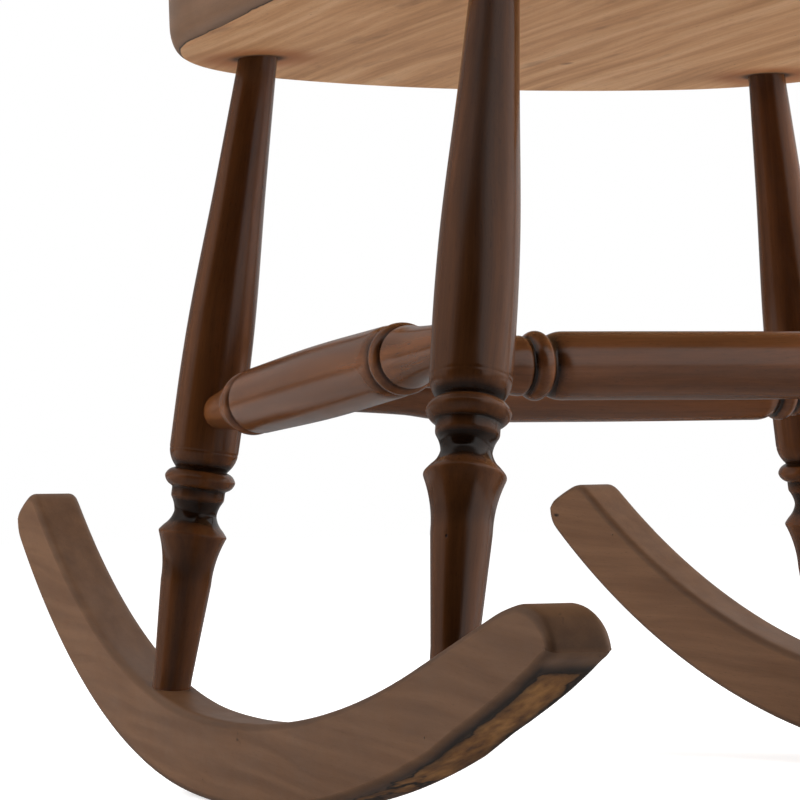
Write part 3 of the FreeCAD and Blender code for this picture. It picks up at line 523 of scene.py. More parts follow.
@dataclass(frozen=True)
class StainedTimber:
    """Close-grained hardwood, stained walnut brown and rubbed with a satin varnish.

    To the eye: long streaks of lighter and darker brown, short dark pores, hollows darkened by
    stain and by painted shade, orange-brown wood showing on rubbed ridges, and a soft broad gloss.
    """

    name: str
    tones: Tones = WALNUT
    hollow: str = "190D06"
    ridge: str = "7A4B28"
    streak_mm: tuple[float, float] = (7.0, 190.0)
    # Real fibres and pores are under 0.1 mm across, too fine to show, so both are drawn coarser.
    fibre_mm: tuple[float, float] = (0.8, 26.0)
    pore_mm: tuple[float, float] = (0.45, 5.0)
    drift_mm: tuple[float, float] = (70.0, 160.0)
    blotch_mm: tuple[float, float] = (22.0, 45.0)
    smudge_mm: tuple[float, float] = (15.0, 60.0)
    nick_mm: tuple[float, float] = (26.0, 36.0)
    knot_mm: tuple[float, float] = (55.0, 90.0)
    # Noise values between which each pattern goes from its lowest to its highest.
    streak_span: tuple[float, float] = (0.32, 0.68)
    fibre_span: tuple[float, float] = (0.25, 0.75)
    pore_span: tuple[float, float] = (0.64, 0.76)
    blotch_span: tuple[float, float] = (0.3, 0.7)
    hollow_patch_span: tuple[float, float] = (0.3, 0.6)
    rub_span: tuple[float, float] = (0.35, 0.65)
    smudge_span: tuple[float, float] = (0.6, 0.76)
    nick_reach: tuple[float, float] = (0.014, 0.029)
    knot_reach: tuple[float, float] = (0.02, 0.075)
    nick_depth: float = 4.0
    grain_wander_mm: float = 14.0
    bump_mm: float = 0.1
    bump_strength: float = 0.3
    fibre_shade: float = 0.1
    pore_shade: float = 0.4
    smudge_shade: float = 0.38
    cloudiness: float = 0.08
    hollow_shade: float = 0.93
    hollow_patch_range: tuple[float, float] = (1.15, 0.85)
    roughness: float = 0.2
    sheen_spread: tuple[float, float] = (0.05, 0.06)
    ior: float = 1.5
    specular: float = 0.36
    ridge_wear: float = 0.75
    least_wear: float = 0.25
    bare: Tones | None = None
    bare_mark: str = ""
    bare_roughness: float = 0.75
    raggedness: float = 0.9
    ragged_level: float = 0.41
    ragged_edge: float = 0.07
    ragged_rim: tuple[float, float] = (0.11, 0.2)
    halo: str = "A65F27"
    halo_shade: float = 0.75
    ring_shade: float = 0.9

    def colour_of(self, tree: Tree, coords: Socket, tones: Tones) -> tuple[Socket, Socket]:
        """Build the grain of one set of tones.

        Args:
            tree: Material's node tree.
            coords: Place in the timber, in metres, with the grain along Z.
            tones: Colours to use.

        Returns:
            Colour, and height for the bump.
        """
        add = partial(add_node, tree)
        streaks = pattern(tree, coords, self.streak_mm, 3.0)
        fibres = pattern(tree, coords, self.fibre_mm, 2.0)
        pores = pattern(tree, coords, self.pore_mm, 1.0)
        streaked = add("ValToRGB", {"Fac": streaks})
        stops = streaked.node.color_ramp.elements
        stops[0].position, stops[1].position = self.streak_span
        stops[0].color, stops[1].color = linear(tones.deep), linear(tones.light)
        stops.new(0.5).color = linear(tones.body)
        shade = add("MapRange", (fibres, *self.fibre_span, 1 - self.fibre_shade, 1 + self.fibre_shade))
        fibred = add("VectorMath", {0: streaked, "Scale": shade}, operation="SCALE")
        pored = add("MapRange", (pores, *self.pore_span, 0.0, self.pore_shade))
        colour = add("Mix", {0: pored, 6: fibred, 7: linear(tones.pore)}, 2, data_type="RGBA")
        return colour, add("Math", (fibres, pored), operation="SUBTRACT")

    def material(self) -> Finish:
        """Build the material."""
        made = bpy.data.materials.new(self.name)
        tree = cleared_tree(made)
        add = partial(add_node, tree)
        place = add("Attribute", (), "Vector", attribute_name="grain")
        drift = pattern(tree, place, self.drift_mm, 1.0, 0.5, "Color")
        centred = add("VectorMath", (drift, (0.5, 0.5, 0.5)), operation="SUBTRACT")
        wander = self.grain_wander_mm * MM
        coords = add("VectorMath", (centred, (wander, wander, 0.0), place), operation="MULTIPLY_ADD")
        colour, height = self.colour_of(tree, coords, self.tones)
        blotch = pattern(tree, place, self.blotch_mm, 4.0, 0.6)
        uneven = add("MapRange", (blotch, *self.blotch_span, 1 - self.cloudiness, 1 + self.cloudiness))
        colour = add("VectorMath", {0: colour, "Scale": uneven}, operation="SCALE")
        less, more = self.sheen_spread
        sheen = add("MapRange", (blotch, *self.blotch_span, self.roughness - less, self.roughness + more))
        if self.bare:
            colour = self.worn_through(tree, coords, blotch, colour)
            mark = add("Attribute", (), "Fac", attribute_name=self.bare_mark)
            sheen = add("Mix", {0: mark, 2: sheen, 3: self.bare_roughness})
        # Painted shade: the hollow mark darkens the grooves and coves of turnings over their stain, and the
        # nose, rounded edges and underside of the rockers.
        stain_and_shade = add("Attribute", (), "Fac", attribute_name="hollow")
        patchy = add("MapRange", (blotch, *self.hollow_patch_span, *self.hollow_patch_range))
        hollow = add("Math", (stain_and_shade, patchy), operation="MULTIPLY", use_clamp=True)
        dark = add("Math", (hollow, self.hollow_shade), operation="MULTIPLY")
        nick = self.spots(tree, coords, self.nick_mm, self.nick_reach)
        ridge = add("Attribute", (), "Fac", attribute_name="ridge")
        rubbed = add("MapRange", (blotch, *self.rub_span, self.least_wear, self.ridge_wear))
        worn = add("Math", (ridge, rubbed), operation="MULTIPLY")
        for share, code in ((dark, self.hollow), (nick, self.hollow), (worn, self.ridge)):
            colour = add("Mix", {0: share, 6: colour, 7: linear(code)}, 2, data_type="RGBA")
        height = add("Math", (nick, -self.nick_depth, height), operation="MULTIPLY_ADD")
        bump = add("Bump", {"Height": height, "Strength": self.bump_strength, "Distance": self.bump_mm * MM})
        shader = add("BsdfPrincipled", {"Base Color": colour, "Roughness": sheen, "Normal": bump,
                                        "IOR": self.ior, "Specular IOR Level": self.specular})
        add("OutputMaterial", {"Surface": shader})
        return made

    def spots(self, tree: Tree, coords: Socket, apart_mm: tuple[float, float],
              reach: tuple[float, float]) -> Socket:
        """Scatter small spots through the timber.

        Args:
            tree: Material's node tree.
            coords: Place in the timber.
            apart_mm: Distance between spots, across and along the grain.
            reach: Radius of a spot's full middle and of its edge, as shares of that distance.

        Returns:
            Near 1 in a spot and 0 outside.
        """
        place = add_node(tree, "VectorMath", (coords, per_mm(*apart_mm)), operation="MULTIPLY")
        far = add_node(tree, "TexVoronoi", {"Vector": place, "Scale": 1.0}, "Distance")
        return add_node(tree, "MapRange", (far, *reach, 0.85, 0.0))

    def worn_through(self, tree: Tree, coords: Socket, blotch: Socket, colour: Socket) -> Socket:
        """Let bare timber show where the stain has gone, with a ragged dark edge.

        Args:
            tree: Material's node tree.
            coords: Place in the timber.
            blotch: Cloudy noise that makes the edge ragged.
            colour: Stained colour.

        Returns:
            Colour with the bare places.
        """
        add = partial(add_node, tree)
        bare, _ = self.colour_of(tree, coords, self.bare)
        smudge = pattern(tree, coords, self.smudge_mm, 3.0, 0.6)
        smudge = add("MapRange", (smudge, *self.smudge_span, 0.0, self.smudge_shade))
        knot = self.spots(tree, coords, self.knot_mm, self.knot_reach)
        layers = [(add("Math", (smudge, knot), operation="MAXIMUM"), self.bare.pore)]
        # Round each leg's head: an orange halo, and a dark ring of painted shade where the leg meets the
        # board.
        for around, share, code in (("halo", self.halo_shade, self.halo),
                                    ("ring", self.ring_shade, self.hollow)):
            near = add("Attribute", (), "Fac", attribute_name=around)
            layers.append((add("Math", (near, share), operation="MULTIPLY"), code))
        for share, code in layers:
            bare = add("Mix", {0: share, 6: bare, 7: linear(code)}, 2, data_type="RGBA")
        mark = add("Attribute", (), "Fac", attribute_name=self.bare_mark)
        ragged = add("Math", (blotch, self.raggedness, mark), operation="MULTIPLY_ADD")
        level = self.ragged_level + self.raggedness / 2
        edge = add("MapRange", (ragged, level, level + self.ragged_edge))
        rim = add("MapRange", (ragged, *(level + step for step in self.ragged_rim)))
        dark = add("Mix", {0: edge, 6: colour, 7: linear(self.hollow)}, 2, data_type="RGBA")
        return add("Mix", {0: rim, 6: dark, 7: bare}, 2, data_type="RGBA")


# The chair's frames


@dataclass(frozen=True)
class Layout:
    """Where the frames of the chair stand at rest."""

    front_radius: float = 1150.0
    bearing_back: float = 62.5
    roll: float = 3.07
    shift_forward: float = 55.05
    seat_height: float = 397.1
    seat_tilt: float = 5.35
    half_spacing: float = 217.8
    toe: float = 5.09

    @property
    def rest(self) -> Matrix:
        """Roll of the whole chair over the front arc's centre."""
        centre = Vector((0, self.bearing_back, self.front_radius))
        turn = Matrix.Rotation(math.radians(self.roll), 4, "X")
        move = Matrix.Translation((0, -self.shift_forward, 0))
        return move @ Matrix.Translation(centre) @ turn @ Matrix.Translation(-centre)

    @property
    def seat(self) -> Matrix:
        """Frame on the seat's underside, with y back along the board."""
        lift = Matrix.Translation((0, 0, self.seat_height))
        return self.rest @ lift @ Matrix.Rotation(-math.radians(self.seat_tilt), 4, "X")

    def rocker(self, side: int) -> Matrix:
        """Frame of one rocker, with y back along the rail."""
        turn = Matrix.Rotation(side * math.radians(self.toe), 4, "Z")
        return self.rest @ Matrix.Translation((side * self.half_spacing, 0, 0)) @ turn


LAYOUT = Layout()


def on_seat(x: float, y: float, z: float) -> Vector:
    """Carry a point from the seat's frame to the chair's frame."""
    return LAYOUT.seat @ Vector((x, y, z))


# Rockers


@dataclass
class Rockers:
    """Two sawn rails, bent to a long arc in front and a tighter one behind."""

    finish: Finish
    rear_radius: float = 660.0
    front_arc: float = math.radians(17.7)
    depth: float = 42.0
    width: float = 28.0
    edge_rounding: float = 4.0
    step: float = 2.0
    softness: float = 2.6
    nose_gap_top: float = 12.0
    nose_gap_under: float = 34.0
    tail_gap: float = 7.0
    curve_step: float = 4.0
    # Start, end, rise and fall of each run along the underside, from the nose.
    worn_run: tuple[float, float, float, float] = (17.0, 400.0, 8.0, 260.0)
    under_shade_run: tuple[float, float, float, float] = (12.0, 330.0, 10.0, 200.0)
    lip_place: float = 19.0
    lip_width: float = 6.0
    nose_length: float = 42.0
    nose_shade: float = 0.4
    rim_shade: float = 0.42
    worn_margin: float = 7.5
    inner_rings: tuple[float, ...] = (-8.0, -5.0, 0.0, 5.0, 8.0)
    nose_middle: tuple[float, float] = (-434.3, 114.5)
    nose_top: tuple[tuple[float, float], ...] = (
        (-433.2, 119.0), (-428.5, 124.0), (-420.5, 128.2), (-410.0, 130.8), (-398.0, 131.4), (-385.0, 128.8))
    nose_under: tuple[tuple[float, float], ...] = (
        (-432.5, 112.4), (-426.0, 110.0), (-413.0, 103.6), (-393.0, 94.7), (-372.0, 86.3), (-350.0, 78.0),
        (-330.0, 70.8))
    tail_middle: tuple[float, float] = (434.3, 123.5)
    tail_top: tuple[tuple[float, float], ...] = (
        (431.5, 128.0), (420.0, 133.4), (408.0, 138.2), (400.0, 139.8), (394.0, 138.2))
    tail_under: tuple[tuple[float, float], ...] = ((433.6, 118.0), (430.0, 112.0))

    def height(self, place: float, rise: float) -> float:
        """Height of a curve inside the rail, a rise above its underside, at a place along it."""
        offset = place - LAYOUT.bearing_back
        if offset >= 0:
            return self.rear_radius - math.sqrt((self.rear_radius - rise) ** 2 - offset ** 2)
        radius = LAYOUT.front_radius - rise
        run = radius * math.sin(self.front_arc)
        if -offset <= run:
            return LAYOUT.front_radius - math.sqrt(radius ** 2 - offset ** 2)
        foot = LAYOUT.front_radius - radius * math.cos(self.front_arc)
        return foot + (-offset - run) * math.tan(self.front_arc)

    def half_outline(self, upper: bool) -> np.ndarray:
        """Draw the rail's top or underside from the nose's middle to the tail's middle."""
        nose = self.nose_top if upper else self.nose_under
        tail = self.tail_top if upper else self.tail_under
        rise = self.depth if upper else 0.0
        gap = self.nose_gap_top if upper else self.nose_gap_under
        places = np.arange(nose[-1][0] + gap, tail[-1][0] - self.tail_gap, self.curve_step)
        curve = [(place, self.height(place, rise)) for place in places]
        line = spaced(np.array([self.nose_middle, *nose, *curve, *tail[::-1], self.tail_middle]), 1.0)
        soft = softened(line, self.softness)
        soft[0], soft[-1] = self.nose_middle, self.tail_middle
        return soft

    def form(self) -> Form:
        """Build the rail with rounded long edges and level sides."""
        low, high = self.half_outline(False), self.half_outline(True)
        count = round(length_of(low) / self.step)
        halves = [spaced(line, length_of(line) / count) for line in (low, high)]
        loop = np.vstack([halves[0], halves[1][-2:0:-1]])
        inward = inward_of(loop)
        size = self.edge_rounding
        layers = [(size * (1 - math.sin(turn)) - self.width / 2, size * (1 - math.cos(turn)))
                  for turn in np.linspace(math.pi / 2, 0, 6)]
        full = layers + [(x, 0.0) for x in self.inner_rings] + [(-x, inset) for x, inset in reversed(layers)]
        rings = [np.column_stack([np.full(len(loop), x), loop + inward * inset]) for x, inset in full]
        points = np.vstack(rings)
        faces = skin(rings)
        around = len(loop)
        last = len(points) - around
        for i in range(count):
            upper = count if i + 1 == count else around - i - 1
            face = list(dict.fromkeys([i, i + 1, upper, (around - i) % around]))
            faces.append(tuple(face))
            faces.append(tuple(last + k for k in reversed(face)))
        return Form(points, faces, self.marks(full, count, around), points[:, [0, 2, 1]])

    def marks(self, full: list[tuple[float, float]], count: int, around: int) -> dict[str, np.ndarray]:
        """Mark where the nose's underside is worn bare, where the nose is darker, and where painted shade
        darkens the rounded edges and the underside.

        Args:
            full: Place across the rail and inset of each ring.
            count: Steps along the underside.
            around: Points in a ring.

        Returns:
            The marks, ring by ring.
        """
        number = np.arange(around)
        from_nose = np.where(number <= count, number, around - number) * self.step
        under = (number <= count).astype(float)
        # The worn run is bare wood; the other run is painted shade along the underside.
        worn, under_shade = (
            under * np.clip((from_nose - start) / rise, 0, 1) * np.clip((end - from_nose) / fall, 0, 1)
            for start, end, rise, fall in (self.worn_run, self.under_shade_run))
        lip = under * np.exp(-((from_nose - self.lip_place) / self.lip_width) ** 2)
        top = (1 - under) * self.nose_shade * np.clip(1 - from_nose / self.nose_length, 0, 1)
        nose = np.maximum(lip, top)
        across = [min(1.0, (self.width / 2 - abs(x)) / self.worn_margin) for x, _ in full]
        # Painted shade along the rounded long edges.
        rim = [math.sin(math.pi * inset / self.edge_rounding) for _, inset in full]
        dark = []
        for share, edge in zip(across, rim):
            # Nose darkening and painted underside shade fade in from the rail's side; the shade is weaker
            # again in its middle.
            inside = min(1.0, 3 * share)
            dark.append(np.maximum.reduce([
                nose * inside, np.full(around, self.rim_shade * edge),
                under_shade * inside * min(1.0, 1.7 - 1.5 * share)]))
        return {"worn": np.concatenate([worn * share for share in across]), "hollow": np.concatenate(dark)}

    def build(self) -> None:
        """Build both rails."""
        for name, side in SIDES.items():
            form = self.form().placed(LAYOUT.rocker(side))
            write_piece("rocker_rail_" + name, form, self.finish, ["rocker_" + name])


# Seat


@dataclass
class Seat:
    """One solid board, tilted back, with a saddled top and a bare underside."""

    finish: Finish
    thickness: float = 42.0
    rear_reach: float = 228.5
    rear_radius: float = 423.0
    corner_radius: float = 131.0
    rear_half_width: float = 220.5
    flare: float = math.radians(2.7)
    front_reach: float = 222.0
    nose_radius: float = 62.0
    top_rounding: float = 11.0
    under_height: float = 14.0
    under_width: float = 5.0
    dish_radius: float = 520.0
    dish_depth: float = 11.0
    dish_spacing: float = 84.0
    dish_forward: float = 42.0
    dish_blend: float = 1.1
    middle: tuple[float, float] = (0.0, -10.0)
    under_spread: float = 1.5
    edge_bare: float = 0.75
    edge_fade: float = 1.2
    bare_enough: float = 0.9
    # Mark round each leg, its distance from the leg's axis and its spread: the ring is painted shade where
    # the leg meets the board, and the halo is orange.
    stain: tuple[tuple[str, float, float], ...] = (("ring", 11.0, 3.6), ("halo", 20.0, 13.0))
    under_rings: int = 90
    under_hub: float = 0.03
    top_rings: int = 60
    top_hub: float = 0.02
    step: float = 4.0

    def outline(self) -> np.ndarray:
        """Draw the board's outline seen from above, anticlockwise."""
        centre = self.rear_reach - self.rear_radius
        gap = self.rear_radius - self.corner_radius
        across = self.rear_half_width - self.corner_radius
        back = centre + math.sqrt(gap ** 2 - across ** 2)
        share = self.rear_radius / gap
        join = (across * share, centre + (back - centre) * share)
        side_rear = (across + self.corner_radius * math.cos(self.flare),
                     back - self.corner_radius * math.sin(self.flare))
        nose_back = self.nose_radius - self.front_reach
        nose_across = (side_rear[0] - self.nose_radius / math.cos(self.flare)
                       + (side_rear[1] - nose_back) * math.tan(self.flare))
        side_front = (nose_across + self.nose_radius * math.cos(self.flare),
                      nose_back - self.nose_radius * math.sin(self.flare))
        line = traced([
            (join, 0.0), ((-join[0], join[1]), self.rear_radius),
            ((-side_rear[0], side_rear[1]), self.corner_radius), ((-side_front[0], side_front[1]), 0.0),
            ((-nose_across, -self.front_reach), self.nose_radius), ((nose_across, -self.front_reach), 0.0),
            (side_front, self.nose_radius), (side_rear, 0.0), (join, self.corner_radius)])
        return spaced(line[:-1], self.step, closed=True)

    def dish(self, x: np.ndarray, y: np.ndarray) -> np.ndarray:
        """Depth of the saddling under the board's flat top."""
        deepest = np.zeros_like(x)
        for side in SIDES.values():
            off = (x - side * self.dish_spacing) ** 2 + (y + self.dish_forward) ** 2
            bowl = np.sqrt(self.dish_radius ** 2 - np.minimum(off, self.dish_radius ** 2 * 0.5))
            depth = bowl - self.dish_radius + self.dish_depth
            deepest = np.logaddexp(deepest / self.dish_blend, depth / self.dish_blend) * self.dish_blend
        return deepest - 2 * self.dish_blend * math.log(2) * np.exp(-deepest / (2 * self.dish_blend))

    def form(self, heads: list[Vector]) -> Form:
        """Build the board ring by ring, from the middle of its underside to the middle of its top.

        Args:
            heads: Middles of the leg heads on the underside, in the seat's frame.

        Returns:
            The form in the seat's frame.
        """
        loop = self.outline()
        inward = inward_of(loop)
        middle = np.array(self.middle)
        rings, under = [], []

        def add(flat: np.ndarray, z: np.ndarray | float, bare: float = 0.0) -> None:
            """Add a ring at a height, with the share of it that is bare."""
            rings.append(np.column_stack([flat, np.broadcast_to(z, len(flat))]))
            under.append(np.full(len(flat), bare))

        under_inset = self.under_width + self.under_spread
        edge = loop + inward * under_inset
        for share in np.linspace(self.under_hub, 1, self.under_rings):
            add(middle + (edge - middle) * share, 0.0, 1.0)
        for turn in np.linspace(0, math.pi / 2, 9)[1:]:
            flat = loop + inward * under_inset * (1 - math.sin(turn))
            bare = max(0.0, self.edge_bare - self.edge_fade * turn)
            add(flat, self.under_height * (1 - math.cos(turn)), bare)
        shoulder = self.thickness - self.top_rounding
        add(loop, (self.under_height + shoulder) / 2)
        add(loop, shoulder)
        for turn in np.linspace(0, math.pi / 2, 8)[1:]:
            flat = loop + inward * self.top_rounding * (1 - math.cos(turn))
            drop = self.dish(flat[:, 0], flat[:, 1]) * (turn / (math.pi / 2)) ** 2
            add(flat, shoulder + self.top_rounding * math.sin(turn) - drop)
        edge = loop + inward * self.top_rounding
        for share in np.linspace(1, self.top_hub, self.top_rings)[1:]:
            flat = middle + (edge - middle) * share
            add(flat, self.thickness - self.dish(flat[:, 0], flat[:, 1]))
        points, faces = stacked(rings)
        marks = {"bare": np.concatenate(under), "ring": np.zeros(len(points)), "halo": np.zeros(len(points))}
        for head in heads:
            distance = np.hypot(points[:, 0] - head.x, points[:, 1] - head.y)
            for name, away, spread in self.stain:
                near = np.exp(-((distance - away) / spread) ** 2) * (marks["bare"] > self.bare_enough)
                marks[name] = np.maximum(marks[name], near)
        return Form(points, faces, marks, points[:, [0, 2, 1]])

    def build(self, heads: list[Vector]) -> None:
        """Build the board."""
        inverse = LAYOUT.seat.inverted()
        form = self.form([inverse @ head for head in heads]).placed(LAYOUT.seat)
        write_piece("seat_plank", form, self.finish, ["seat"])


# Legs and stretchers


@dataclass
class Legs:
    """Four legs of one turning, set into the rockers and through to the seat."""

    finish: Finish
    rockers: Rockers
    front_foot_forward: float = 288.7
    rear_foot_back: float = 143.6
    front_head_forward: float = 189.0
    rear_head_back: float = 141.3
    front_head_half_spacing: float = 174.9
    rear_head_half_spacing: float = 157.2
    foot_tenon: float = 20.0
    foot_let_in: float = 5.0
    head_tenon: float = 26.0
    foot_tenon_radius: float = 7.0
    foot_radius: float = 10.3
    foot_straight: float = 4.5
    head_radius: float = 10.6
    head_straight: float = 6.0
    belly_radius: float = 18.7
    scribes: tuple[float, ...] = (127.0,)
    profile: tuple[Station, ...] = (
        Station(30.0, 11.9, Cut.FLOW), Station(56.3, 13.6, Cut.FLOW),
        Station(82.2, 18.4, Cut.ARC, -62.0), Station(83.0, 18.3), Station(85.9, 15.9),
        Station(93.6, 11.4, Cut.ARC, -13.0), Station(101.2, 14.0, Cut.ARC, -15.0),
        Station(101.9, 14.3), Station(106.8, 14.3),
        Station(112.2, 19.0, Cut.ARC, 6.6), Station(117.0, 13.6, Cut.ARC, 6.4),
        Station(128.5, 18.5, Cut.ARC, 16.0), Station(160.0, 18.7, Cut.FLOW),
        Station(184.0, 18.4, Cut.FLOW), Station(273.7, 13.6, Cut.FLOW))

    def ends(self, end: str) -> tuple[Vector, Vector]:
        """Foot on the left rocker's top and head on the seat's underside, for a left leg."""
        toe = math.radians(LAYOUT.toe)
        if end == "front":
            place = -self.front_foot_forward / math.cos(toe)
            head = on_seat(self.front_head_half_spacing, -self.front_head_forward, 0)
        else:
            place = self.rear_foot_back / math.cos(toe)
            head = on_seat(self.rear_head_half_spacing, self.rear_head_back, 0)
        height = self.rockers.height(place, self.rockers.depth)
        return LAYOUT.rocker(LEFT) @ Vector((0, place, height)), head

    def turning(self, reach: float) -> Turning:
        """Outline of a leg of a given reach from foot to head."""
        foot, head = self.foot_tenon_radius, self.head_radius
        return Turning([
            Station(-self.foot_tenon, foot), Station(-self.foot_let_in, foot),
            Station(-self.foot_let_in, self.foot_radius), Station(self.foot_straight, self.foot_radius),
            *self.profile,
            Station(reach - self.head_straight, head, Cut.FLOW), Station(reach + self.head_tenon, head),
        ], scribes=self.scribes)

    def build(self) -> list[Vector]:
        """Build the four legs.

        Returns:
            Middles of their heads on the seat's underside.
        """
        heads = []
        for name, side in SIDES.items():
            for end in ("front", "rear"):
                foot, head = (mirrored(point, side) for point in self.ends(end))
                write_turned("leg_%s_%s" % (end, name), self.turning((head - foot).length), foot, head,
                             self.finish)
                heads.append(head)
        return heads


@dataclass
class Stretchers:
    """A turned rail at each side, and two more across between the side rails."""

    finish: Finish
    legs: Legs
    joint_height: float = 146.6
    stations_across: dict[str, float] = field(default_factory=lambda: {"rear": 118.0, "front": 247.0})
    tenon: float = 14.0
    tenon_radius: float = 7.5
    clearance: float = 0.15
    shoulder_radius: float = 9.8
    shoulder_rounding: float = 3.0
    # Stations beside the barrel, with heights from its groove.
    collar: tuple[Station, ...] = (
        Station(-30.0, 12.6, Cut.FLOW), Station(-16.0, 14.6, Cut.FLOW),
        Station(-11.4, 13.0, Cut.ARC, 4.5), Station(-10.6, 13.6),
        Station(-5.6, 17.0, Cut.ARC, 5.2), Station(-1.2, 14.6, Cut.ARC, 5.2), Station(0.0, 13.9))
    barrel_shoulder: float = 9.0
    barrel_rounding: float = 16.0
    side_barrel: tuple[float, float] = (18.3, 17.2)
    side_necks: tuple[float, float] = (82.0, 95.0)
    cross_barrel: tuple[float, float] = (17.0, 16.8)
    cross_lift: float = 2.0
    cross_necks: dict[str, float] = field(default_factory=lambda: {"rear": 100.0, "front": 96.5})

    def stand_off(self, radius: float, axis: Vector, rail: Vector) -> float:
        """Distance from a round piece's axis to where a rail's shoulder just clears it."""
        lean = abs(axis.normalized().dot(rail.normalized()))
        return (radius + self.tenon_radius * lean) / math.sqrt(1 - lean ** 2) + self.clearance

    def rising(self, shoulder: float, groove: float) -> list[Station]:
        """Stations of one end, from the tenon's tip to the groove beside the barrel."""
        size = self.shoulder_rounding
        return [
            Station(shoulder - self.tenon, self.tenon_radius), Station(shoulder, self.tenon_radius),
            Station(shoulder + size, self.shoulder_radius, Cut.ARC, size),
        ] + [Station(groove + s.height, s.radius, s.cut, s.bend) for s in self.collar]

    def turning(self, reach: float, shoulders: tuple[float, float], necks: tuple[float, float],
                barrel: tuple[float, float]) -> Turning:
        """Outline of a stretcher.

        Args:
            reach: Distance between its two joints.
            shoulders: Stand-off of its shoulder at each end.
            necks: Place of the groove beside the barrel, from each joint.
            barrel: Radius in the middle and at the ends of the barrel.

        Returns:
            The turning, with heights from the first joint.
        """
        first, second = (self.rising(shoulder, neck) for shoulder, neck in zip(shoulders, necks))
        middle = (reach + necks[0] - necks[1]) / 2
        swell = self.barrel_shoulder
        bulge = (Cut.ARC, self.barrel_rounding)
        cuts = [bulge] + [(s.cut, s.bend) for s in reversed(second[1:])]
        return Turning(first + [
            Station(necks[0] + swell, barrel[1], *bulge), Station(middle, barrel[0], Cut.FLOW),
            Station(reach - necks[1] - swell, barrel[1], Cut.FLOW),
        ] + [Station(reach - s.height, s.radius, *cut) for s, cut in zip(reversed(second), cuts)])

    def build(self) -> None:
        """Build the side rails and the two rails across."""
        ends = {end: self.legs.ends(end) for end in ("front", "rear")}
        joints = {end: along(foot, head, self.joint_height) for end, (foot, head) in ends.items()}
        run = joints["front"] - joints["rear"]
        side_off = {end: self.stand_off(self.legs.belly_radius, head - foot, run)
                    for end, (foot, head) in ends.items()}
        cross_off = self.stand_off(self.side_barrel[0], run, Vector((1, 0, 0)))
        side = self.turning(run.length, (side_off["rear"], side_off["front"]), self.side_necks,
                            self.side_barrel)
        for name, sign in SIDES.items():
            start, end = mirrored(joints["rear"], sign), mirrored(joints["front"], sign)
            write_turned("side_stretcher_" + name, side, start, end, self.finish)
        for end, station in self.stations_across.items():
            left = along(joints["rear"], joints["front"], station) + Vector((0, 0, self.cross_lift))
            right = mirrored(left, RIGHT)
            neck = self.cross_necks[end]
            rail = self.turning(2 * left.x, (cross_off, cross_off), (neck, neck), self.cross_barrel)
            write_turned("cross_stretcher_" + end, rail, right, left, self.finish)


# Back


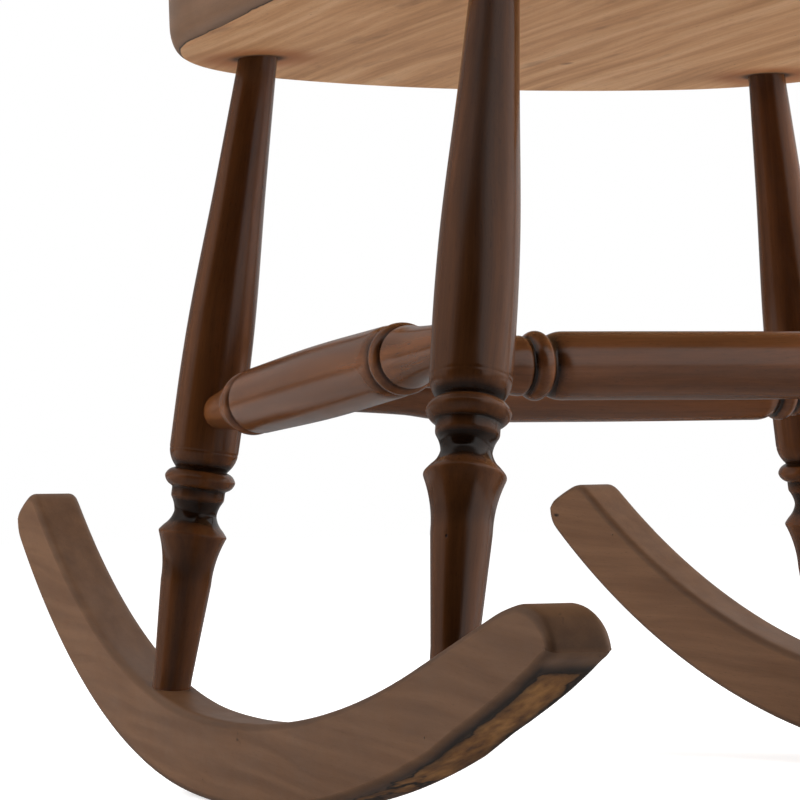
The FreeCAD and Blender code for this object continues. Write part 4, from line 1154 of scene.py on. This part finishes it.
@dataclass
class Back:
    """One bent bar from side to side of the seat, filled with nine turned spindles."""

    bar_finish: Finish
    spindle_finish: Finish
    seat: Seat
    bar_radius: float = 13.0
    foot_half_spacing: float = 185.0
    foot_back: float = 105.0
    rise: float = 590.0
    lean: float = math.radians(17.0)
    spread: float = math.radians(6.0)
    shoulder_radius: float = 150.0
    crown_radius: float = 300.0
    tenon: float = 20.0
    spindles: int = 9
    foot_spacing: float = 36.0
    head_spacing: float = 45.0
    edge_inset: float = 32.0
    step: float = 5.0
    sides: int = 48

    def __post_init__(self) -> None:
        """Work out where the bar's sides, shoulders and crown meet."""
        self.crown_up = self.rise / math.cos(self.lean) - self.crown_radius
        across = self.foot_half_spacing - self.shoulder_radius * math.cos(self.spread)
        up = self.shoulder_radius * math.sin(self.spread) - self.crown_up
        half = across * math.sin(self.spread) + up * math.cos(self.spread)
        rest = across ** 2 + up ** 2 - (self.crown_radius - self.shoulder_radius) ** 2
        self.side = math.sqrt(half ** 2 - rest) - half
        self.shoulder = (across + self.side * math.sin(self.spread),
                         self.shoulder_radius * math.sin(self.spread) + self.side * math.cos(self.spread))
        share = self.crown_radius / (self.crown_radius - self.shoulder_radius)
        self.join = (self.shoulder[0] * share, self.crown_up + (self.shoulder[1] - self.crown_up) * share)

    def in_bar(self, across: float, up: float) -> Vector:
        """Carry a point from the leaning plane of the bar to the chair's frame."""
        return on_seat(across, self.foot_back + up * math.sin(self.lean),
                       self.seat.thickness + up * math.cos(self.lean))

    def up_at(self, across: float) -> float:
        """Height of the bar's axis in its plane above a place across the chair."""
        if abs(across) <= self.join[0]:
            return self.crown_up + math.sqrt(self.crown_radius ** 2 - across ** 2)
        return self.shoulder[1] + math.sqrt(self.shoulder_radius ** 2 - (abs(across) - self.shoulder[0]) ** 2)

    def path(self) -> np.ndarray:
        """Axis of the bar in its plane, from its left foot over the crown to its right foot."""
        foot = np.array([self.foot_half_spacing - self.tenon * math.sin(self.spread),
                         -self.tenon * math.cos(self.spread)])
        top = np.array([self.foot_half_spacing + self.side * math.sin(self.spread),
                        self.side * math.cos(self.spread)])
        join = np.array(self.join)
        flip = np.array([-1, 1])
        return spaced(traced([
            (foot, 0.0), (top, 0.0), (join, self.shoulder_radius), (join * flip, self.crown_radius),
            (top * flip, self.shoulder_radius), (foot * flip, 0.0)]), self.step)

    def bar(self) -> Form:
        """Sweep the round bar along its path."""
        path = self.path()
        heading = np.gradient(path, axis=0)
        heading /= np.linalg.norm(heading, axis=1)[:, None]
        aside = np.column_stack([heading[:, 1], -heading[:, 0]])
        angles = np.arange(self.sides) * 2 * math.pi / self.sides
        out, back = self.bar_radius * np.cos(angles), self.bar_radius * np.sin(angles)
        points, faces = stacked([np.column_stack([spot + np.outer(out, side), back])
                                 for spot, side in zip(path, aside)])
        grain = [np.column_stack([out, back, np.full(self.sides, number * self.step)])
                 for number in range(len(path))]
        return Form(points, faces, {}, np.vstack(grain))

    def spindle(self, reach: float) -> Turning:
        """Outline of a spindle that swells below its middle."""
        return Turning([
            Station(-18.0, 7.0), Station(3.0, 7.0),
            Station(reach * 0.32, 9.4, Cut.FLOW), Station(reach * 0.7, 7.3, Cut.FLOW),
            Station(reach - self.bar_radius, 5.5, Cut.FLOW), Station(reach - 3.0, 5.5),
        ], segments=40)

    def build(self) -> None:
        """Build the bar and its spindles."""
        rise = Matrix.Rotation(math.pi / 2 - self.lean, 4, "X")
        base = Matrix.Translation((0, self.foot_back, self.seat.thickness))
        form = self.bar().placed(LAYOUT.seat @ base @ rise)
        write_piece("bent_back_bar", form, self.bar_finish, ["hoop"])
        centre = self.seat.rear_reach - self.seat.rear_radius
        fan = self.seat.rear_radius - self.edge_inset
        for number in range(self.spindles):
            step = number - (self.spindles - 1) / 2
            across = step * self.foot_spacing
            foot = on_seat(across, centre + math.sqrt(fan ** 2 - across ** 2), self.seat.thickness)
            head = self.in_bar(step * self.head_spacing, self.up_at(step * self.head_spacing))
            write_turned("back_spindle_%d" % (number + 1), self.spindle((head - foot).length), foot, head,
                         self.spindle_finish)


# Arms


@dataclass
class Arms:
    """Two sawn arms on turned posts and short spindles, screwed to the bent bar."""

    finish: Finish
    turned_finish: Finish
    plug_finish: Finish
    back: Back
    rise: float = 206.0
    thickness: float = 22.0
    hand_forward: float = 168.0
    tail_back: float = 198.05
    tail: tuple[float, float] = (202.05, 238.05)
    waist_forward: float = 20.0
    waist_outer: float = 243.05
    hand: tuple[float, float] = (211.05, 272.05)
    palm_forward: float = 106.0
    sweep_radius: float = 210.0
    edge_rounding: float = 6.0
    tail_rounding: float = 9.0
    post_foot: tuple[float, float] = (203.0, -92.0)
    post_head: tuple[float, float] = (238.05, -122.0)
    spindle_feet: tuple[tuple[float, float], ...] = ((203.0, -32.0), (203.0, 20.0))
    spindle_heads: tuple[tuple[float, float], ...] = ((225.05, -42.0), (225.05, 24.0))
    plug_depth: float = 4.0
    plug_inset: float = 1.0
    softness: float = 2.0
    step: float = 1.5

    def outline(self) -> np.ndarray:
        """Draw the left arm's outline seen from above, anticlockwise."""
        tip = (self.hand[1] - self.hand[0]) / 2
        soft = self.tail_rounding
        inner, outer = self.hand
        line = traced([
            ((self.tail[0] + soft, self.tail_back), 0.0), ((self.tail[0], self.tail_back - soft), soft),
            ((inner, -self.palm_forward), 0.0), ((inner, tip - self.hand_forward), 0.0),
            ((inner + tip, -self.hand_forward), tip), ((outer, tip - self.hand_forward), tip),
            ((outer, -self.palm_forward), 0.0),
            ((self.waist_outer, -self.waist_forward), -self.sweep_radius),
            ((self.tail[1], self.tail_back - soft), 0.0), ((self.tail[1] - soft, self.tail_back), soft)])
        loop = spaced(line, self.step, closed=True)
        return softened(np.vstack([loop, loop, loop]), self.softness)[len(loop):2 * len(loop)]

    def board(self, side: int) -> Form:
        """Build one arm with softened edges."""
        loop = self.outline()
        inward = inward_of(loop)
        size = self.edge_rounding
        low = [(size * (1 - math.cos(turn)), size * (1 - math.sin(turn)))
               for turn in np.linspace(0, math.pi / 2, 7)]
        layers = low + [(self.thickness - z, inset) for z, inset in reversed(low)]
        points, faces = stacked([np.column_stack([loop + inward * inset, np.full(len(loop), z)])
                                 for z, inset in layers])
        if side == RIGHT:
            points = points * np.array([-1, 1, 1])
            faces = [tuple(reversed(face)) for face in faces]
        return Form(points, faces, {}, points[:, [0, 2, 1]])

    def post(self, reach: float) -> Turning:
        """Outline of a front post: a vase, a waist, a ring and a neck."""
        return Turning([
            Station(-16.0, 9.0), Station(3.0, 9.0),
            Station(reach * 0.30, 16.0, Cut.FLOW), Station(reach * 0.56, 10.0, Cut.FLOW),
            Station(reach * 0.63, 12.0, Cut.FLOW),
            Station(reach * 0.66, 14.5, Cut.ARC, 8.0), Station(reach * 0.69, 12.0, Cut.ARC, 8.0),
            Station(reach * 0.76, 10.0, Cut.FLOW), Station(reach - 3.0, 9.0, Cut.FLOW),
            Station(reach + 14.0, 9.0),
        ], segments=56)

    def baluster(self, reach: float) -> Turning:
        """Outline of a short spindle."""
        return Turning([
            Station(-15.0, 6.5), Station(3.0, 6.5), Station(reach * 0.4, 9.0, Cut.FLOW),
            Station(reach - 3.0, 5.5, Cut.FLOW), Station(reach + 12.0, 5.5),
        ], segments=40)

    def plugs(self) -> Form:
        """Domed wooden plugs over the screws, one on each arm."""
        middle = self.rise + self.thickness / 2
        place = self.back.foot_back + middle / math.cos(self.back.lean) * math.sin(self.back.lean)
        share = (place + self.waist_forward) / (self.tail_back + self.waist_forward)
        outer = self.waist_outer + share * (self.tail[1] - self.waist_outer)
        depth = self.plug_depth
        dome = Turning([Station(0.0, 5.0), Station(depth - 0.4, 5.0), Station(depth, 4.2, Cut.ARC, 1.2),
                        Station(depth + 0.2, 0.3)], segments=40, softness=0.2)
        domes = []
        for side in SIDES.values():
            top = mirrored(on_seat(outer - self.plug_inset, place, self.back.seat.thickness + middle), side)
            domes.append(dome.form().placed(between(top - Vector((side * depth, 0, 0)), top)))
        return domes[0].joined(domes[1])

    def build(self) -> None:
        """Build the arms, their posts, short spindles and plugs."""
        low = self.back.seat.thickness
        high = low + self.rise
        for name, side in SIDES.items():
            form = self.board(side).placed(LAYOUT.seat @ Matrix.Translation((0, 0, high)))
            write_piece("sawn_arm_" + name, form, self.finish, ["arm_" + name])
            props = [("arm_post_" + name, self.post, self.post_foot, self.post_head)]
            for number, ends in enumerate(zip(self.spindle_feet, self.spindle_heads), 1):
                props.append(("arm_spindle_%s_%d" % (name, number), self.baluster, *ends))
            for node, outline, below, above in props:
                foot, head = mirrored(on_seat(*below, low), side), mirrored(on_seat(*above, high), side)
                write_turned(node, outline((head - foot).length), foot, head, self.turned_finish)
        write_piece("domed_screw_plugs", self.plugs(), self.plug_finish, ["arm_screw_plugs"])


# Studio


@dataclass(frozen=True)
class SteelScrew:
    """Zinc-plated steel wood screw: a pale grey metal with fine turning marks, hidden in the arm."""

    name: str = "zinc_plated_screw"
    colour: str = "B9BAB6"
    roughness: float = 0.34
    thread_mm: float = 1.2
    bump_mm: float = 0.1

    def material(self) -> Finish:
        """Build the material."""
        made = bpy.data.materials.new(self.name)
        add = partial(add_node, cleared_tree(made))
        noise = add("TexNoise", {"Vector": add("TexCoord", (), "Object"), "Detail": 2.0,
                                 "Scale": 1 / (self.thread_mm * MM)}, "Fac")
        dull = add("MapRange", (noise, 0.0, 1.0, self.roughness - 0.1, self.roughness + 0.1))
        bump = add("Bump", {"Height": noise, "Strength": 0.3, "Distance": self.bump_mm * MM})
        shade = add("MapRange", (noise, 0.0, 1.0, 0.85, 1.05))
        tint = add("VectorMath", {0: linear(self.colour)[:3], "Scale": shade}, operation="SCALE")
        shader = add("BsdfPrincipled", {"Base Color": tint, "Roughness": dull, "Normal": bump,
                                        "Metallic": 1.0})
        add("OutputMaterial", {"Surface": shader})
        return made


@dataclass
class Studio:
    """A pale floor, soft lamps at both sides and overhead, and the photograph's camera."""

    # The camera's place in millimetres, its axes and its lens, worked out from the photograph.
    place: tuple[float, float, float] = (-943.12, -1764.51, 149.15)
    right: tuple[float, float, float] = (0.909238, -0.415852, -0.018826)
    up: tuple[float, float, float] = (0.005873, -0.032406, 0.999458)
    forward: tuple[float, float, float] = (0.416236, 0.908856, 0.027022)
    lens: float = 171.88
    room: float = 0.15
    # For a reflection: a heading, two cosines of the angle to it, and the brightness at each.
    sectors: tuple[tuple[tuple[float, float, float], float, float, float, float], ...] = (
        ((-0.70, -0.713, 0.0), 0.56, 0.68, 1.0, 0.0),
        ((0.0, 0.0, 1.0), 0.78, 0.92, 1.0, 0.15),
        ((0.3, -0.95, 0.0), -1.0, 0.3, 0.22, 1.0))
    floor_gloss: float = 0.2
    floor_reach: float = 14.0
    floor_drop: float = 0.2
    # Two distances from the chair in metres, and the floor's brightness at each.
    floor_glow: tuple[float, float, float, float] = (0.55, 1.5, 0.58, 1.0)
    # Paint of the floor as the lamps light it, and as it shows in reflections.
    floor_paint: tuple[float, float] = (0.82, 0.25)
    # Name of each lamp, its place, aim, width and height in metres, and its power in watts.
    lamps: tuple[tuple[Any, ...], ...] = (
        ("left_softbox", (-1.6, 1.1, 0.8), (0, 0, 0.35), (1.2, 1.6), 48.0),
        ("right_softbox", (1.95, -0.6, 0.8), (0, 0, 0.3), (1.2, 1.6), 80.0),
        ("overhead_softbox", (-0.2, -0.1, 2.3), (0, 0, 0.5), (1.8, 1.8), 9.0))

    def camera(self) -> None:
        """Set the camera where the photograph was taken from."""
        data = bpy.data.cameras.new("photograph_camera")
        data.lens = self.lens
        data.sensor_width = 36.0
        data.clip_start, data.clip_end = 0.05, 60.0
        camera = linked("photograph_camera", data)
        turn = Matrix((self.right, self.up, [-v for v in self.forward])).transposed()
        camera.matrix_world = Matrix.Translation(Vector(self.place) * MM) @ turn.to_4x4()
        bpy.context.scene.camera = camera

    def world(self) -> None:
        """Show white behind the chair, and light it by a plain grey room."""
        world = bpy.data.worlds.new("studio_room")
        bpy.context.scene.world = world
        tree = cleared_tree(world)
        add = partial(add_node, tree)
        path = add("LightPath").node.outputs
        seen = add("Math", (path["Is Camera Ray"], path["Is Transmission Ray"]), operation="MAXIMUM")
        gloss = self.reflected(tree, add("TexCoord", (), "Generated"))
        glossy = add("Math", (path["Is Glossy Ray"], gloss), operation="MULTIPLY")
        plain = add("Math", (1.0, path["Is Glossy Ray"]), operation="SUBTRACT")
        lit = add("Math", (plain, self.room, glossy), operation="MULTIPLY_ADD")
        strength = add("Math", (lit, seen), operation="MAXIMUM")
        shown = add("Background", {"Color": (1, 1, 1, 1), "Strength": strength})
        add("OutputWorld", {"Surface": shown})

    def reflected(self, tree: Tree, direction: Socket) -> Socket:
        """Brightness of the studio in a reflection: white at the right, dim behind, dark in front and above.

        Args:
            tree: Node tree of the room or the floor.
            direction: Way from the chair.

        Returns:
            The brightness.
        """
        bright = 1.0
        for heading, low, high, first, last in self.sectors:
            facing = add_node(tree, "VectorMath", (direction, heading), "Value", operation="DOT_PRODUCT")
            share = add_node(tree, "MapRange", (facing, low, high, first, last))
            bright = add_node(tree, "Math", (bright, share), operation="MULTIPLY")
        return bright

    def floor(self) -> None:
        """Lay a wide pale floor that keeps the chair's shadow."""
        made = bpy.data.materials.new("pale_studio_floor")
        tree = cleared_tree(made)
        add = partial(add_node, tree)
        path = add("LightPath").node.outputs
        place = add("NewGeometry", (), "Position")
        away = add("VectorMath", (place,), operation="NORMALIZE")
        gloss = add("Math", (self.reflected(tree, away), self.floor_gloss), operation="MULTIPLY")
        glossy = add("Math", (path["Is Glossy Ray"], gloss), operation="MULTIPLY")
        seen = add("Math", (path["Is Camera Ray"], glossy), operation="MAXIMUM")
        far = add("VectorMath", (place,), "Value", operation="LENGTH")
        bright = add("MapRange", (far, *self.floor_glow))
        lift = add("Math", (seen, bright), operation="MULTIPLY")
        glow = add("Emission", {"Color": (1, 1, 1, 1), "Strength": lift})
        paint = add("MapRange", (path["Is Glossy Ray"], 0.0, 1.0, *self.floor_paint))
        both = add("AddShader", (add("BsdfDiffuse", {"Color": paint}), glow))
        add("OutputMaterial", {"Surface": both})
        mesh = bpy.data.meshes.new("studio_floor")
        reach = self.floor_reach
        mesh.from_pydata([(x * reach, y * reach, 0) for x, y in ((-1, -1), (1, -1), (1, 1), (-1, 1))],
                         [], [(0, 1, 2, 3)])
        mesh.materials.append(made)
        floor = linked("studio_floor", mesh)
        floor.location.z = float(cad_box[0].z) - self.floor_drop * MM

    def lamp(self, name: str, place: tuple[float, float, float], aim: tuple[float, float, float],
             size: tuple[float, float], power: float) -> None:
        """Hang one large soft lamp.

        Args:
            name: Name of the lamp.
            place: Where it hangs, in metres.
            aim: Where it points, in metres.
            size: Width and height in metres.
            power: Power in watts.
        """
        data = bpy.data.lights.new(name, "AREA")
        data.shape = "RECTANGLE"
        data.size, data.size_y = size
        data.energy = power
        lamp = linked(name, data)
        heading = Vector(aim) - Vector(place)
        lamp.matrix_world = Matrix.Translation(place) @ heading.to_track_quat("-Z", "Y").to_matrix().to_4x4()
        lamp.visible_camera = False
        lamp.visible_glossy = False

    def build(self) -> None:
        """Set up the room, the floor, the lamps and the camera."""
        self.world()
        self.floor()
        for lamp in self.lamps:
            self.lamp(*lamp)
        self.camera()
        bpy.context.scene.view_settings.view_transform = "Standard"


def main() -> None:
    """Build the chair, dress it and set the studio round it."""
    logging.basicConfig(level=logging.INFO, format="%(message)s")
    turned = StainedTimber("walnut_stained_beech_turning")
    # Legs take a darker copy of the walnut and its wear colour as painted shade; rungs take a lighter copy as
    # painted light.
    legged = StainedTimber("walnut_stained_beech_leg", SHADED_WALNUT, hollow="120904", ridge="6A3F21",
                           ridge_wear=0.6, roughness=0.17, specular=0.32)
    rung = StainedTimber("walnut_stained_beech_rung", LIT_WALNUT, hollow="120904", ridge_wear=0.55,
                         specular=0.56)
    railed = StainedTimber("walnut_stained_beech_rail", SATIN, hollow="1F130B", ridge="7A5336",
                           fibre_shade=0.04, cloudiness=0.05, roughness=0.46, specular=0.3, raggedness=1.9,
                           bare=GOLDEN, bare_mark="worn")
    # The seat's tone is lightened as painted sheen.
    seated = StainedTimber("half_bare_elm_seat", SHEEN_LIGHTENED_SATIN, hollow="20130A", ridge="80562F",
                           streak_mm=(10.0, 260.0), fibre_shade=0.07, roughness=0.36, specular=0.5,
                           bare=BARE, bare_mark="bare")
    bent = StainedTimber("walnut_stained_ash_bend", pore_mm=(0.45, 9.0))
    sawn = StainedTimber("walnut_stained_beech_arm", ridge="80522E")
    plug = StainedTimber("walnut_stained_plug", ridge="80522E", streak_mm=(7.0, 14.0))
    turned_finish = turned.material()
    steel = SteelScrew().material()
    rockers = Rockers(railed.material())
    rockers.build()
    legs = Legs(legged.material(), rockers)
    heads = legs.build()
    Stretchers(rung.material(), legs).build()
    seat = Seat(seated.material())
    seat.build(heads)
    back = Back(bent.material(), turned_finish, seat)
    back.build()
    Arms(sawn.material(), turned_finish, plug.material(), back).build()
    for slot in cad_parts["arm_screws"].material_slots:
        slot.material = steel
    Studio().build()


if __name__ == "__main__":
    main()
